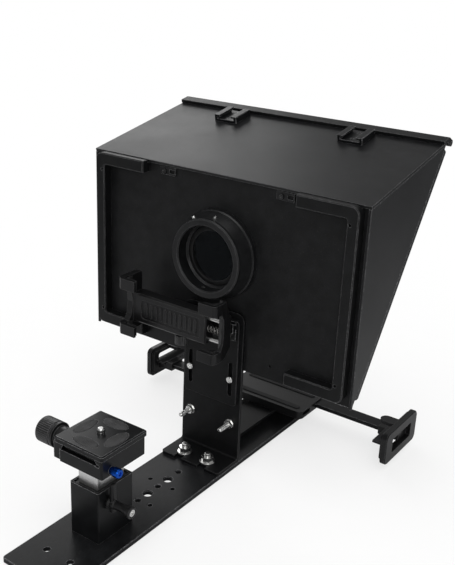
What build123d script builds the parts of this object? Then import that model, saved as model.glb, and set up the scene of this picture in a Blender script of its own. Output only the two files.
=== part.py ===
from build123d import *
from math import atan2, cos, radians, sin, tan
import os

# Teleprompter: a flat base rail, an upright carrying a hooded box with a slanted
# beam-splitter window, a phone clamp on the rear of the upright below the lens ring, a
# tablet holder under the window and a quick-release camera clamp on a telescopic riser.
# +Z up, +X to the operator's right, +Y towards the talent (front), millimetres.
# Origin: centre line of the rail, under the hood's rear edge, on the rail's underside.

# ---- driving dimensions ----
RAIL_W = 65.0
RAIL_T = 4.0
RAIL_REAR = -221.0
RAIL_FRONT = 179.0
DECK = RAIL_T                   # the rail's top face, from which heights are measured

UP_W = 64.0                     # upright bracket
UP_T = 3.0
UP_REAR = -0.5
UP_FRONT = UP_REAR + UP_T
UP_H = 146.0
UP_FOOT_REAR = -31.3
UP_FOOT_TOP = DECK + UP_T
BOLT_X, BOLT_Y = 13.0, -20.6    # bolts through its foot
MOUNT_X = 22.0                  # columns of holes in its plate
TABLET_BOLT_Z = DECK + 37
PHONE_SCREW_Z = DECK + 82.7

HOOD_HALF = 140.0               # hood: half width, sheet thickness
WALL = 2.5
HOOD_BOT = DECK + 92.0
HOOD_TOP = DECK + 263.9         # at the rear edge
TOP_LEN = 137.8                 # top panel, rising forwards
TILT = radians(12.2)
FRONT_Y = TOP_LEN * cos(TILT)
FRONT_Z = HOOD_TOP + TOP_LEN * sin(TILT)
PANEL_REAR = UP_FRONT           # back panel
PANEL_FRONT = PANEL_REAR + WALL
PANEL_BOT = DECK + 92.4

LENS_Z = DECK + 194.0           # lens ring
LENS_BORE = 27.0
LENS_SCREW_R = 35.5
GRIP_ANGLES = (82, 118, 260)    # directions of the three grip screws, degrees

TUBE_X, TUBE_Y, TUBE_H = 30.0, 40.0, 46.0   # riser
POST_X, POST_Y = 20.0, 30.0
RISER_WALL = 2.0
RISER_Y = -145.0
RISER_BOLT_PITCH = 19.0
LEVER_Y, LEVER_Z = -153.0, DECK + 33.5

QR_Y = -145.0                   # quick-release clamp
QR_HALF_X, QR_HALF_Y = 25.0, 26.0       # half sizes of the plate
BASE_HALF_X, BASE_HALF_Y = 23.8, 24.8   # half sizes of the body under it
QR_BOT = DECK + 64.0
QR_TOP = DECK + 85.5
KNOB_Y, KNOB_Z = -149.0, DECK + 69.6

CLAMP_Z = DECK + 133.0          # phone clamp
HOLD_Y = 110.0                  # tablet holder
TABLET_ARM_Z = DECK + 7.0


# ---- helpers ----
def both_sides(x, *rest):
    """The same point on the right and on the left."""
    return [(x, *rest), (-x, *rest)]


def at_height(points, z):
    return [(x, y, z) for x, y in points]


def above_deck(*points):
    """Profile points whose second value is a height above the rail's top."""
    return [(across, DECK + height) for across, height in points]


def y_plane(y):
    """Plane at y with sketch axes X and Z; a positive extrusion runs rearwards."""
    return Plane.XZ.offset(-y)


def mirrored(shape):
    """The left-hand twin of a right-hand piece."""
    with BuildPart() as twin:
        add(mirror(shape, about=Plane.YZ))
    return twin.part


def coil_spring(start, pitch, length, radius, wire_radius):
    """Coil spring running from start along +X."""
    with BuildPart() as spring:
        with BuildLine() as coil:
            Helix(pitch=pitch, height=length, radius=radius)
        with BuildSketch(Plane(origin=coil.line @ 0, z_dir=coil.line % 0)):
            Circle(wire_radius)
        sweep(path=coil.line, is_frenet=True)
    return Pos(*start) * Rot(0, 90, 0) * spring.part


# ======================= base rail =======================
FOOT_BOLTS = both_sides(BOLT_X, BOLT_Y)
RISER_BOLTS = [(0, RISER_Y + RISER_BOLT_PITCH / 2), (0, RISER_Y - RISER_BOLT_PITCH / 2)]
REAR_HOLES = both_sides(12.5, -193.5)
SMALL_SINKS = [(0, -101.5), (0, -75), (0, -46.4)]
LARGE_SINKS = [(0, -88.6), (0, -61.4)]
MIDDLE_HOLES = both_sides(12.5, -70.3) + both_sides(12.5, -100.4)


def base_rail():
    with BuildPart() as rail:
        with BuildSketch(Plane.XY):
            with Locations((0, (RAIL_REAR + RAIL_FRONT) / 2)):
                RectangleRounded(RAIL_W, RAIL_FRONT - RAIL_REAR, 3)
        extrude(amount=RAIL_T)
        chamfer(rail.edges().group_by(Axis.Z)[-1], 0.4)
        with Locations(*at_height(REAR_HOLES, RAIL_T)):
            Hole(2.95)
        with Locations(*at_height(SMALL_SINKS, RAIL_T)):
            CounterSinkHole(2.55, 3.1, counter_sink_angle=90)
        with Locations(*at_height(LARGE_SINKS, RAIL_T)):
            CounterSinkHole(4.0, 4.7, counter_sink_angle=90)
        with Locations(*at_height(MIDDLE_HOLES, RAIL_T)):
            Hole(2.15)
        # bolt holes, countersunk from the underside; this plane's y runs rearwards
        with Locations(Plane((0, 0, 0), x_dir=(1, 0, 0), z_dir=(0, 0, -1))):
            with Locations(*[(x, -y) for x, y in FOOT_BOLTS + RISER_BOLTS]):
                CounterSinkHole(3.2, 6.0, counter_sink_angle=90)
    return rail.part


# ======================= upright bracket =======================
FOOT_SLOT_R = 4.1
SLOT_OVERRUN = 4.0              # the slots' cut runs this far past the foot's rear edge
PANEL_MOUNTS = [point for height in (118, 138) for point in both_sides(MOUNT_X, DECK + height)]


def upright_bracket():
    with BuildPart() as bracket:
        with BuildSketch(Plane.YZ) as side:
            with BuildLine():
                Polyline(
                    (UP_FOOT_REAR, DECK), (UP_FRONT, DECK),
                    (UP_FRONT, DECK + UP_H), (UP_REAR, DECK + UP_H),
                    (UP_REAR, UP_FOOT_TOP), (UP_FOOT_REAR, UP_FOOT_TOP), close=True,
                )
            make_face()
            # inside and outside of the bend
            fillet(side.vertices().sort_by_distance((UP_REAR, UP_FOOT_TOP, 0))[0:1], 2.0)
            fillet(side.vertices().sort_by_distance((UP_FRONT, DECK, 0))[0:1], 3.0)
        extrude(amount=UP_W / 2, both=True)
        # rounded top corners of the plate
        fillet(bracket.edges().filter_by(Axis.Y).group_by(Axis.Z)[-1], 8.0)
        # open slots for the two rail bolts
        with BuildSketch(Plane.XY.offset(DECK)):
            for side_sign in (-1, 1):
                with Locations((side_sign * BOLT_X, BOLT_Y)):
                    Circle(FOOT_SLOT_R)
                with Locations((side_sign * BOLT_X, (BOLT_Y + UP_FOOT_REAR - SLOT_OVERRUN) / 2)):
                    Rectangle(2 * FOOT_SLOT_R, BOLT_Y - UP_FOOT_REAR + SLOT_OVERRUN)
        extrude(amount=UP_T, mode=Mode.SUBTRACT)
        # outer rear corners of the foot
        fillet(
            bracket.edges().filter_by(Axis.Z).filter_by(
                lambda e: abs(e.center().X) > 31 and e.center().Y < UP_FOOT_REAR + 1
            ),
            2.5,
        )
        # holes in the plate
        with BuildSketch(y_plane(-5)):
            with Locations(*both_sides(MOUNT_X, TABLET_BOLT_Z)):
                Circle(2.1)
            with Locations(*both_sides(MOUNT_X, PHONE_SCREW_Z)):
                Circle(2.03)
            with Locations((0, DECK + 68.4)):
                Circle(3.3)
            with Locations(*PANEL_MOUNTS):
                Circle(1.62)
        extrude(amount=-12, mode=Mode.SUBTRACT)
    return bracket.part


def rail_bolts():
    """Countersunk bolts up through the rail: two hold the upright, two the riser."""
    with BuildPart() as bolt:
        with BuildSketch(Plane.XZ):
            with BuildLine():
                Polyline(
                    (0, 0.2), (5.5, 0.2), (5.5, 0.5), (3.0, 3.0),
                    (3.0, DECK + 11.9), (2.4, DECK + 12.5), (0, DECK + 12.5), close=True,
                )
            make_face()
        revolve(axis=Axis.Z)
        with BuildSketch(Plane.XY):
            RegularPolygon(2.0, 6)
        extrude(amount=2.2, mode=Mode.SUBTRACT)
    return Compound(children=[Pos(x, y, 0) * bolt.part for x, y in FOOT_BOLTS + RISER_BOLTS])


WASHER_T = 1.6
FOOT_NUT_H = 4.6


def bracket_washers():
    with BuildPart() as washers:
        with BuildSketch(Plane.XY.offset(UP_FOOT_TOP)):
            with Locations(*FOOT_BOLTS):
                Circle(7.0)
                Circle(3.15, mode=Mode.SUBTRACT)
        extrude(amount=WASHER_T)
        top_edges = washers.edges().group_by(Axis.Z)[-1]
        chamfer(top_edges.filter_by(lambda e: e.radius > 5), 0.3)
    return washers.part


def bracket_nuts():
    with BuildPart() as nuts:
        with BuildSketch(Plane.XY.offset(UP_FOOT_TOP + WASHER_T)):
            with Locations(*FOOT_BOLTS):
                RegularPolygon(5.0, 6, major_radius=False, rotation=20)
                Circle(3.03, mode=Mode.SUBTRACT)
        extrude(amount=FOOT_NUT_H)
        # trims the hexagon's corners
        with BuildSketch(Plane.XY.offset(UP_FOOT_TOP + WASHER_T)):
            with Locations(*FOOT_BOLTS):
                Circle(5.5)
        extrude(amount=FOOT_NUT_H, mode=Mode.INTERSECT)
    return nuts.part


# ======================= telescopic riser =======================
TUBE_FLOOR = DECK + 5
TUBE_INNER_X = TUBE_X - 2 * RISER_WALL
TUBE_INNER_Y = TUBE_Y - 2 * RISER_WALL
POST_BOT = DECK + 13
POST_CAP = 6.0                  # thickness of the post's closed top
LEVER_HEAD_X = 36.9             # seat of the screw head in the lever's hub
LEVER_SCREW_X = POST_X / 2 + 0.4        # the screw's inner end
# lever hub: x, radius
HUB_PROFILE = [
    (15.6, 0), (15.6, 4.9), (17.2, 4.9), (18.2, 4.0), (21.6, 4.0), (22.4, 3.5),
    (30.0, 3.4), (33.5, 4.1), (36.5, 4.9), (38.7, 5.0), (39.5, 4.4), (39.5, 0),
]


def riser_tube():
    with BuildPart() as tube:
        with BuildSketch(Plane.XY.offset(DECK)):
            with Locations((0, RISER_Y)):
                RectangleRounded(TUBE_X, TUBE_Y, 1.5)
        extrude(amount=TUBE_H)
        with BuildSketch(Plane.XY.offset(TUBE_FLOOR)):
            with Locations((0, RISER_Y)):
                RectangleRounded(TUBE_INNER_X, TUBE_INNER_Y, 0.6)
        extrude(amount=TUBE_H, mode=Mode.SUBTRACT)
        with Locations(*at_height(RISER_BOLTS, TUBE_FLOOR)):
            Hole(3.03)
        with BuildSketch(Plane.YZ.offset(TUBE_X / 2 - 5)):
            with Locations((LEVER_Y, LEVER_Z)):
                Circle(2.56)
        extrude(amount=6, mode=Mode.SUBTRACT)
    return tube.part


def riser_bushing():
    """Plastic guide sleeve lining the mouth of the tube."""
    with BuildPart() as bushing:
        with BuildSketch(Plane.XY.offset(DECK + TUBE_H - 20)):
            with Locations((0, RISER_Y)):
                RectangleRounded(TUBE_INNER_X - 0.1, TUBE_INNER_Y - 0.1, 0.5)
                Rectangle(POST_X + 0.12, POST_Y + 0.12, mode=Mode.SUBTRACT)
        extrude(amount=19.0)
        with BuildSketch(Plane.YZ.offset(POST_X / 2 - 1)):
            with Locations((LEVER_Y, LEVER_Z)):
                Circle(2.8)
        extrude(amount=6, mode=Mode.SUBTRACT)
    return bushing.part


def riser_post():
    """Inner post, a rectangular tube closed at the top."""
    with BuildPart() as post:
        with BuildSketch(Plane.XY.offset(POST_BOT)):
            with Locations((0, RISER_Y)):
                Rectangle(POST_X, POST_Y)
        extrude(amount=QR_BOT - POST_BOT)
        with BuildSketch(Plane.XY.offset(POST_BOT)):
            with Locations((0, RISER_Y)):
                Rectangle(POST_X - 2 * RISER_WALL, POST_Y - 2 * RISER_WALL)
        extrude(amount=QR_BOT - POST_BOT - POST_CAP, mode=Mode.SUBTRACT)
        with Locations((0, RISER_Y, QR_BOT)):
            Hole(3.03, depth=7)
    return post.part


def lock_lever():
    """Side clamping lever: hub and short upright handle."""
    with BuildPart() as lever:
        with BuildSketch(Plane.XY):
            with BuildLine():
                Polyline(*HUB_PROFILE, close=True)
            make_face()
        revolve(axis=Axis.X)
        with BuildSketch(Plane.XY.offset(-6.5)):
            with Locations((19.4, 0)):
                RectangleRounded(4.4, 6.0, 1.8)
        extrude(amount=25.0, taper=1.0)
        fillet(lever.edges().group_by(Axis.Z)[-1], 1.0)
        # bore and head seat for the clamping screw
        with BuildSketch(Plane.YZ.offset(15)):
            Circle(2.52)
        extrude(amount=30, mode=Mode.SUBTRACT)
        with BuildSketch(Plane.YZ.offset(LEVER_HEAD_X)):
            Circle(3.35)
        extrude(amount=5, mode=Mode.SUBTRACT)
    return Pos(0, LEVER_Y, LEVER_Z) * lever.part


def lever_screw():
    """Clamping screw through the lever's hub and the tube wall."""
    with BuildPart() as screw:
        with BuildSketch(Plane.YZ.offset(LEVER_SCREW_X)):
            Circle(2.5)
        extrude(amount=LEVER_HEAD_X - LEVER_SCREW_X)
        with BuildSketch(Plane.YZ.offset(LEVER_HEAD_X)):
            Circle(3.3)
        extrude(amount=2.3)
        with BuildSketch(Plane.YZ.offset(LEVER_HEAD_X + 0.9)):
            RegularPolygon(1.7, 6)
        extrude(amount=3, mode=Mode.SUBTRACT)
        chamfer(screw.edges().group_by(Axis.X)[-1].filter_by(GeomType.CIRCLE), 0.5)
    return Pos(0, LEVER_Y, LEVER_Z) * screw.part


# ======================= quick-release clamp =======================
CHANNEL_Z = QR_BOT + 11.0       # floor of the dovetail channel
SLAB_Z = QR_TOP - 5.0           # underside of the plate's top slab
CHEEK_TOP = SLAB_Z - 0.4        # top of the base and jaw
DOVETAIL_WIDE, DOVETAIL_NARROW = 19.3, 16.3     # half widths of the channel
BASE_REAR = QR_Y - BASE_HALF_Y
JAW_INSET = 0.4                 # the jaw is this much shorter than the base at each end
GUIDE_RODS = [(QR_Y - 19, QR_BOT + 4.5), (QR_Y + 19, QR_BOT + 4.5)]
PIN_Y, PIN_Z = QR_Y - 14.5, QR_BOT + 5.0
# knob: x, radius
KNOB_PROFILE = [
    (-28.1, 0), (-28.1, 4.6), (-31.2, 4.6), (-31.2, 6.0), (-33.5, 6.0),
    (-34.0, 8.4), (-40.5, 8.4), (-41.0, 10.9), (-43.2, 10.9), (-43.6, 10.2),
    (-44.4, 10.2), (-44.8, 10.9), (-58.0, 10.9), (-59.4, 9.6), (-59.4, 0),
]
# safety pin: x, radius
PIN_PROFILE = [
    (17.5, 0), (17.5, 1.6), (24.0, 1.6), (24.0, 3.1), (26.0, 3.1),
    (26.6, 3.9), (31.4, 3.9), (32.4, 3.2), (32.4, 0),
]
# rubber pads in the plate: two across its ends, two along its sides
END_PADS = [(0, QR_Y + 16.8), (0, QR_Y - 16.8)]
SIDE_PADS = both_sides(16.2, QR_Y)
END_PAD_X, END_PAD_Y = 12.0, 5.5        # ellipse radii
SIDE_PAD_X, SIDE_PAD_Y = 5.5, 12.2
PAD_GAP = 0.2
PAD_DEPTH = 1.2


def qr_base():
    """Clamp body with the fixed right cheek."""
    with BuildPart() as base:
        with BuildSketch(y_plane(BASE_REAR)):
            with BuildLine():
                Polyline(
                    (-20, QR_BOT), (BASE_HALF_X, QR_BOT), (BASE_HALF_X, CHEEK_TOP),
                    (DOVETAIL_NARROW, CHEEK_TOP), (DOVETAIL_WIDE, CHANNEL_Z),
                    (-20, CHANNEL_Z), close=True,
                )
            make_face()
        extrude(amount=-2 * BASE_HALF_Y)
        fillet(base.edges().filter_by(Axis.Z).filter_by(lambda e: e.center().X > 23), 1.6)
        chamfer(base.edges().group_by(Axis.Z)[0], 0.5)
        # pocket in the rear face beside the channel
        with BuildSketch(y_plane(BASE_REAR)):
            with Locations((18.9, QR_BOT + 11.6)):
                RectangleRounded(4.0, 2.6, 0.6)
        extrude(amount=-2.0, mode=Mode.SUBTRACT)
        # bores for the knob shaft and the two guide rods
        with BuildSketch(Plane.YZ.offset(-21)):
            with Locations((KNOB_Y, KNOB_Z)):
                Circle(3.05)
        extrude(amount=14, mode=Mode.SUBTRACT)
        with BuildSketch(Plane.YZ.offset(-21)):
            with Locations(*GUIDE_RODS):
                Circle(1.52)
        extrude(amount=26, mode=Mode.SUBTRACT)
        # seat for the screw that holds the clamp on the post
        with Locations((0, QR_Y, CHANNEL_Z)):
            CounterBoreHole(3.1, 5.6, 8.1)
        # bore for the safety pin, open to the right face
        with BuildSketch(Plane.YZ.offset(14.2)):
            with Locations((PIN_Y, PIN_Z)):
                Circle(3.2)
        extrude(amount=12, mode=Mode.SUBTRACT)
    return base.part


def qr_mount_screw():
    """Screw holding the clamp on the post."""
    with BuildPart() as screw:
        with BuildSketch(Plane.XY.offset(QR_BOT - 6.0)):
            with Locations((0, QR_Y)):
                Circle(3.0)
        extrude(amount=9.0)
        with BuildSketch(Plane.XY.offset(QR_BOT + 2.9)):
            with Locations((0, QR_Y)):
                Circle(5.2)
        extrude(amount=5.4)
        with BuildSketch(Plane.XY.offset(QR_BOT + 5.4)):
            with Locations((0, QR_Y)):
                RegularPolygon(2.8, 6)
        extrude(amount=5, mode=Mode.SUBTRACT)
    return screw.part


def qr_jaw():
    """Moving left jaw."""
    with BuildPart() as jaw:
        with BuildSketch(y_plane(BASE_REAR + JAW_INSET)):
            with BuildLine():
                Polyline(
                    (-28, QR_BOT + 1.5), (-20.4, QR_BOT + 1.5), (-20.4, CHANNEL_Z + 0.3),
                    (-DOVETAIL_WIDE, CHANNEL_Z + 0.3), (-DOVETAIL_NARROW, CHEEK_TOP),
                    (-28, CHEEK_TOP), close=True,
                )
            make_face()
        extrude(amount=-2 * (BASE_HALF_Y - JAW_INSET))
        # outer corners and outer top edge
        fillet(jaw.edges().filter_by(Axis.Z).filter_by(lambda e: e.center().X < -27), 2.0)
        top_edges = jaw.edges().group_by(Axis.Z)[-1]
        chamfer(top_edges.filter_by(Axis.Y).filter_by(lambda e: e.center().X < -27), 0.8)
        with BuildSketch(Plane.YZ.offset(-30)):
            with Locations((KNOB_Y, KNOB_Z)):
                Circle(3.06)
            with Locations(*GUIDE_RODS):
                Circle(1.55)
        extrude(amount=15, mode=Mode.SUBTRACT)
    return jaw.part


def qr_guide_rods():
    with BuildPart() as rods:
        with BuildSketch(Plane.YZ.offset(-27)):
            with Locations(*GUIDE_RODS):
                Circle(1.5)
        extrude(amount=31)
    return rods.part


def qr_knob():
    with BuildPart() as knob:
        with BuildSketch(Plane.XY):
            with BuildLine():
                Polyline(*KNOB_PROFILE, close=True)
            make_face()
        revolve(axis=Axis.X)
        # straight knurl
        with BuildSketch(Plane.YZ.offset(-60)):
            with PolarLocations(11.15, 40):
                RegularPolygon(0.75, 3)
        extrude(amount=15.0, mode=Mode.SUBTRACT)
        # ring-shaped recess in the outer end
        with BuildSketch(Plane.YZ.offset(-60)):
            Circle(7.6)
            Circle(3.0, mode=Mode.SUBTRACT)
        extrude(amount=1.6, mode=Mode.SUBTRACT)
        # shaft bore
        with BuildSketch(Plane.YZ.offset(-50)):
            Circle(3.02)
        extrude(amount=24, mode=Mode.SUBTRACT)
    return Pos(0, KNOB_Y, KNOB_Z) * knob.part


def qr_knob_shaft():
    with BuildPart() as shaft:
        with BuildSketch(Plane.YZ.offset(-50)):
            Circle(3.0)
        extrude(amount=42.5)
        chamfer(shaft.edges().group_by(Axis.X)[-1], 0.5)
    return Pos(0, KNOB_Y, KNOB_Z) * shaft.part


def qr_plate():
    """Sliding camera plate with its dovetail foot, pad recesses and screw channel."""
    foot_inset = 5.0
    with BuildPart() as plate:
        with BuildSketch(Plane.XY.offset(SLAB_Z)):
            with Locations((0, QR_Y)):
                RectangleRounded(2 * QR_HALF_X, 2 * QR_HALF_Y, 2.2)
        extrude(amount=QR_TOP - SLAB_Z)
        chamfer(plate.edges().group_by(Axis.Z)[-1], 1.0)
        chamfer(plate.edges().group_by(Axis.Z)[0], 0.5)
        # dovetail foot, shorter than the slab
        with BuildSketch(y_plane(QR_Y - QR_HALF_Y + foot_inset)):
            with BuildLine():
                Polyline(
                    (-18.95, CHANNEL_Z + 0.4), (18.95, CHANNEL_Z + 0.4),
                    (15.9, SLAB_Z + 0.2), (-15.9, SLAB_Z + 0.2), close=True,
                )
            make_face()
        extrude(amount=-2 * (QR_HALF_Y - foot_inset))
        # channel under the foot: clears the mount screw and holds the camera screw's head
        with BuildSketch(Plane.XY.offset(CHANNEL_Z)):
            with Locations((0, QR_Y)):
                SlotOverall(36, 16, rotation=90)
        extrude(amount=5.6, mode=Mode.SUBTRACT)
        with Locations((0, QR_Y, QR_TOP)):
            Hole(3.3)
        with BuildSketch(Plane.XY.offset(QR_TOP)):
            with Locations(*END_PADS):
                Ellipse(END_PAD_X + PAD_GAP, END_PAD_Y + PAD_GAP)
            with Locations(*SIDE_PADS):
                Ellipse(SIDE_PAD_X + PAD_GAP, SIDE_PAD_Y + PAD_GAP)
        extrude(amount=-PAD_DEPTH, mode=Mode.SUBTRACT)
    return plate.part


def qr_plate_pads():
    """Four ribbed rubber pads set in the plate."""
    groove_pitch, groove_w, groove_len, groove_count = 1.5, 0.6, 12, 17
    with BuildPart() as pads:
        with BuildSketch(Plane.XY.offset(QR_TOP - PAD_DEPTH)):
            with Locations(*END_PADS):
                Ellipse(END_PAD_X, END_PAD_Y)
            with Locations(*SIDE_PADS):
                Ellipse(SIDE_PAD_X, SIDE_PAD_Y)
        extrude(amount=1.8)
        with BuildSketch(Plane.XY.offset(QR_TOP + 0.15)):
            with Locations(*END_PADS):
                with GridLocations(groove_pitch, 0, groove_count, 1):
                    Rectangle(groove_w, groove_len)
            with Locations(*SIDE_PADS):
                with GridLocations(0, groove_pitch, 1, groove_count):
                    Rectangle(groove_len, groove_w)
        extrude(amount=1, mode=Mode.SUBTRACT)
    return pads.part


def camera_screw():
    with BuildPart() as screw:
        # head, neck, then the wider end that stands above the plate
        with BuildSketch(Plane.XY.offset(CHANNEL_Z + 0.9)):
            with Locations((0, QR_Y)):
                Circle(7.2)
        extrude(amount=3.6)
        with BuildSketch(Plane.XY.offset(CHANNEL_Z + 4.0)):
            with Locations((0, QR_Y)):
                Circle(2.6)
        extrude(amount=QR_TOP - CHANNEL_Z - 3.8)
        with BuildSketch(Plane.XY.offset(QR_TOP + 0.1)):
            with Locations((0, QR_Y)):
                Circle(3.175)
        extrude(amount=4.3)
        fillet(screw.edges().group_by(Axis.Z)[-1], 1.4)
        # driver slot from below
        with BuildSketch(Plane.XY.offset(CHANNEL_Z + 0.9)):
            with Locations((0, QR_Y)):
                Rectangle(12, 1.4)
        extrude(amount=1.6, mode=Mode.SUBTRACT)
    return screw.part


def safety_pin():
    """Safety pin in the right side of the clamp."""
    with BuildPart() as pin:
        with BuildSketch(Plane.XY):
            with BuildLine():
                Polyline(*PIN_PROFILE, close=True)
            make_face()
        revolve(axis=Axis.X)
        with BuildSketch(Plane.YZ.offset(31.6)):
            Circle(1.6)
        extrude(amount=2, mode=Mode.SUBTRACT)
    return Pos(0.4, PIN_Y, PIN_Z) * pin.part


def pin_spring():
    return coil_spring((14.6, PIN_Y, PIN_Z), pitch=1.7, length=9.1, radius=2.5, wire_radius=0.35)


# ======================= hood =======================
TOP_PLANE = Plane(origin=(0, 0, HOOD_TOP), x_dir=(1, 0, 0), z_dir=(0, -sin(TILT), cos(TILT)))
# side view of the top panel: x along it to the front, y square off its upper face
TOP_SIDE = Plane(origin=(0, 0, HOOD_TOP), x_dir=(0, cos(TILT), sin(TILT)), z_dir=(1, 0, 0))
# the window's angle above horizontal; its plane faces down and to the front
SLOPE = atan2(FRONT_Z - HOOD_BOT, FRONT_Y)
WINDOW_NORMAL = (0, sin(SLOPE), -cos(SLOPE))
WINDOW_PLANE = Plane(origin=(0, 0, HOOD_BOT), x_dir=(-1, 0, 0), z_dir=WINDOW_NORMAL)
# side view of the window: x up along it, y square off it towards the inside
WINDOW_SIDE = Plane(origin=(0, 0, HOOD_BOT), x_dir=(0, cos(SLOPE), sin(SLOPE)), z_dir=(1, 0, 0))

SHOE_X = 66.0                   # cold shoes
SHOE_SCREWS = (106, 120)        # along the top panel
LATCH_X, LATCH_SCREW_Z = 60.0, DECK + 256.3
SIDE_SCREW_X = 128.6            # panel to side flanges and stand-off frames
SIDE_SCREW_ZS = (DECK + 110, DECK + 180, DECK + 254)
SIDE_SCREWS = [(SIDE_SCREW_X, z) for z in SIDE_SCREW_ZS]

SIDE_TOP = HOOD_TOP - (WALL + 0.05) / cos(TILT)     # underside of the top panel at y = 0
SIDE_FRONT_Y = (SIDE_TOP - HOOD_BOT) / (tan(SLOPE) - tan(TILT))    # where it meets the window
SIDE_FLANGE_X = 124.0           # inner edge of the side's return flange
SIDE_FLANGE_T = 1.5
SIDE_FLANGE_REAR = PANEL_FRONT + 0.05

FRAME_REAR = -7.0               # stand-off frames behind the back panel
FRAME_OUTLINE = above_deck(
    (78, 97.5), (133.6, 97.5), (133.6, 263.2), (78, 263.2),
    (78, 252.5), (123.6, 252.5), (123.6, 108.5), (78, 108.5),
)


def hood_top():
    with BuildPart() as panel:
        with BuildSketch(TOP_PLANE):
            with Locations((0, TOP_LEN / 2)):
                Rectangle(2 * HOOD_HALF, TOP_LEN)
        extrude(amount=-WALL)
        chamfer(panel.faces().sort_by(Axis.Z)[-1].edges(), 0.5)
        with BuildSketch(TOP_PLANE):
            with Locations(*[(x, along) for x in (SHOE_X, -SHOE_X) for along in SHOE_SCREWS]):
                Circle(1.62)
        extrude(amount=-WALL, mode=Mode.SUBTRACT)
    return panel.part


def hood_side_right():
    with BuildPart() as panel:
        with BuildSketch(Plane.YZ.offset(HOOD_HALF - WALL)):
            with BuildLine():
                Polyline(
                    (0, SIDE_TOP), (SIDE_FRONT_Y, SIDE_TOP + SIDE_FRONT_Y * tan(TILT)),
                    (2.2, HOOD_BOT + 2.2 * tan(SLOPE)), (1.6, HOOD_BOT), (0, HOOD_BOT),
                    close=True,
                )
            make_face()
        extrude(amount=WALL)
        # return flange inside the box, in front of the back panel
        with BuildSketch(Plane.XY.offset(HOOD_BOT + 12)):
            flange_x = (SIDE_FLANGE_X + HOOD_HALF - 1) / 2
            with Locations((flange_x, SIDE_FLANGE_REAR + SIDE_FLANGE_T / 2)):
                Rectangle(HOOD_HALF - 1 - SIDE_FLANGE_X, SIDE_FLANGE_T)
        extrude(amount=SIDE_TOP - HOOD_BOT - 13)
        chamfer(panel.faces().sort_by(Axis.X)[-1].edges(), 0.4)
        with BuildSketch(y_plane(PANEL_REAR)):
            with Locations(*SIDE_SCREWS):
                Circle(1.6)
        extrude(amount=-8, mode=Mode.SUBTRACT)
    return panel.part


def hood_side_left():
    return mirrored(hood_side_right())


def hood_back():
    panel_top = SIDE_TOP - 0.1
    with BuildPart() as panel:
        with BuildSketch(y_plane(PANEL_REAR)):
            with Locations((0, (PANEL_BOT + panel_top) / 2)):
                Rectangle(2 * (HOOD_HALF - WALL) - 0.4, panel_top - PANEL_BOT)
            with Locations((0, LENS_Z)):
                Circle(31.0, mode=Mode.SUBTRACT)
            with Locations(*both_sides(58.5, DECK + 105)):
                Circle(1.3, mode=Mode.SUBTRACT)
            with Locations(*PANEL_MOUNTS):
                Circle(1.62, mode=Mode.SUBTRACT)
            with Locations(*both_sides(LATCH_X, LATCH_SCREW_Z)):
                Circle(1.53, mode=Mode.SUBTRACT)
            with Locations((0, LENS_Z)):
                with PolarLocations(LENS_SCREW_R, 3, start_angle=90):
                    Circle(1.55, mode=Mode.SUBTRACT)
            with Locations(*[point for x, z in SIDE_SCREWS for point in both_sides(x, z)]):
                Circle(1.53, mode=Mode.SUBTRACT)
        extrude(amount=-WALL)
    return panel.part


def panel_frame_right():
    """C-shaped stand-off frame on the rear face of the back panel."""
    with BuildPart() as frame:
        with BuildSketch(y_plane(FRAME_REAR)) as outline:
            with BuildLine():
                Polyline(*FRAME_OUTLINE, close=True)
            make_face()
            fillet(outline.vertices().filter_by(lambda v: v.X > 130), 7.0)
            fillet(outline.vertices().filter_by(lambda v: 120 < v.X < 125), 2.0)
        extrude(amount=FRAME_REAR - PANEL_REAR)
        chamfer(frame.faces().sort_by(Axis.Y)[0].outer_wire().edges(), 0.8)
        # blind holes in the rear face
        with BuildSketch(y_plane(FRAME_REAR)):
            with Locations((126.4, DECK + 112.6), (126.4, DECK + 248)):
                Circle(1.3)
        extrude(amount=-4, mode=Mode.SUBTRACT)
        # screw holes entered from the panel side
        with BuildSketch(y_plane(PANEL_REAR)):
            with Locations(*SIDE_SCREWS):
                Circle(1.52)
        extrude(amount=3.2, mode=Mode.SUBTRACT)
        # rebate that clears the top panel's rear edge
        with BuildSketch(Plane.YZ.offset(70)):
            with Locations((1.7, DECK + 264)):
                Rectangle(4.0, 6.4)
        extrude(amount=70, mode=Mode.SUBTRACT)
    return frame.part


def panel_frame_left():
    return mirrored(panel_frame_right())


def hood_latches():
    """Two latch plates on the rear of the back panel, under the top panel."""
    screw_offset = -4.0         # screw hole from the plate's centre
    with BuildPart() as latch:
        with BuildSketch(y_plane(PANEL_REAR)):
            with Locations((0, DECK + 257.0)):
                RectangleRounded(17, 7.4, 1.0)
            with Locations((screw_offset, LATCH_SCREW_Z)):
                Circle(1.6, mode=Mode.SUBTRACT)
            with Locations((4.6, DECK + 256.9)):
                Rectangle(5.0, 3.2, mode=Mode.SUBTRACT)
        extrude(amount=1.5)
    return Compound(
        children=[Pos(x - screw_offset, 0, 0) * latch.part for x in (LATCH_X, -LATCH_X)]
    )


# ---- front trim and hinge along the top panel's front edge ----
HINGE_ALONG, HINGE_UP = 144.0, -3.2     # hinge axis in TOP_SIDE
HINGE_Y = HINGE_ALONG * cos(TILT) - HINGE_UP * sin(TILT)
HINGE_Z = HOOD_TOP + HINGE_ALONG * sin(TILT) + HINGE_UP * cos(TILT)
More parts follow.
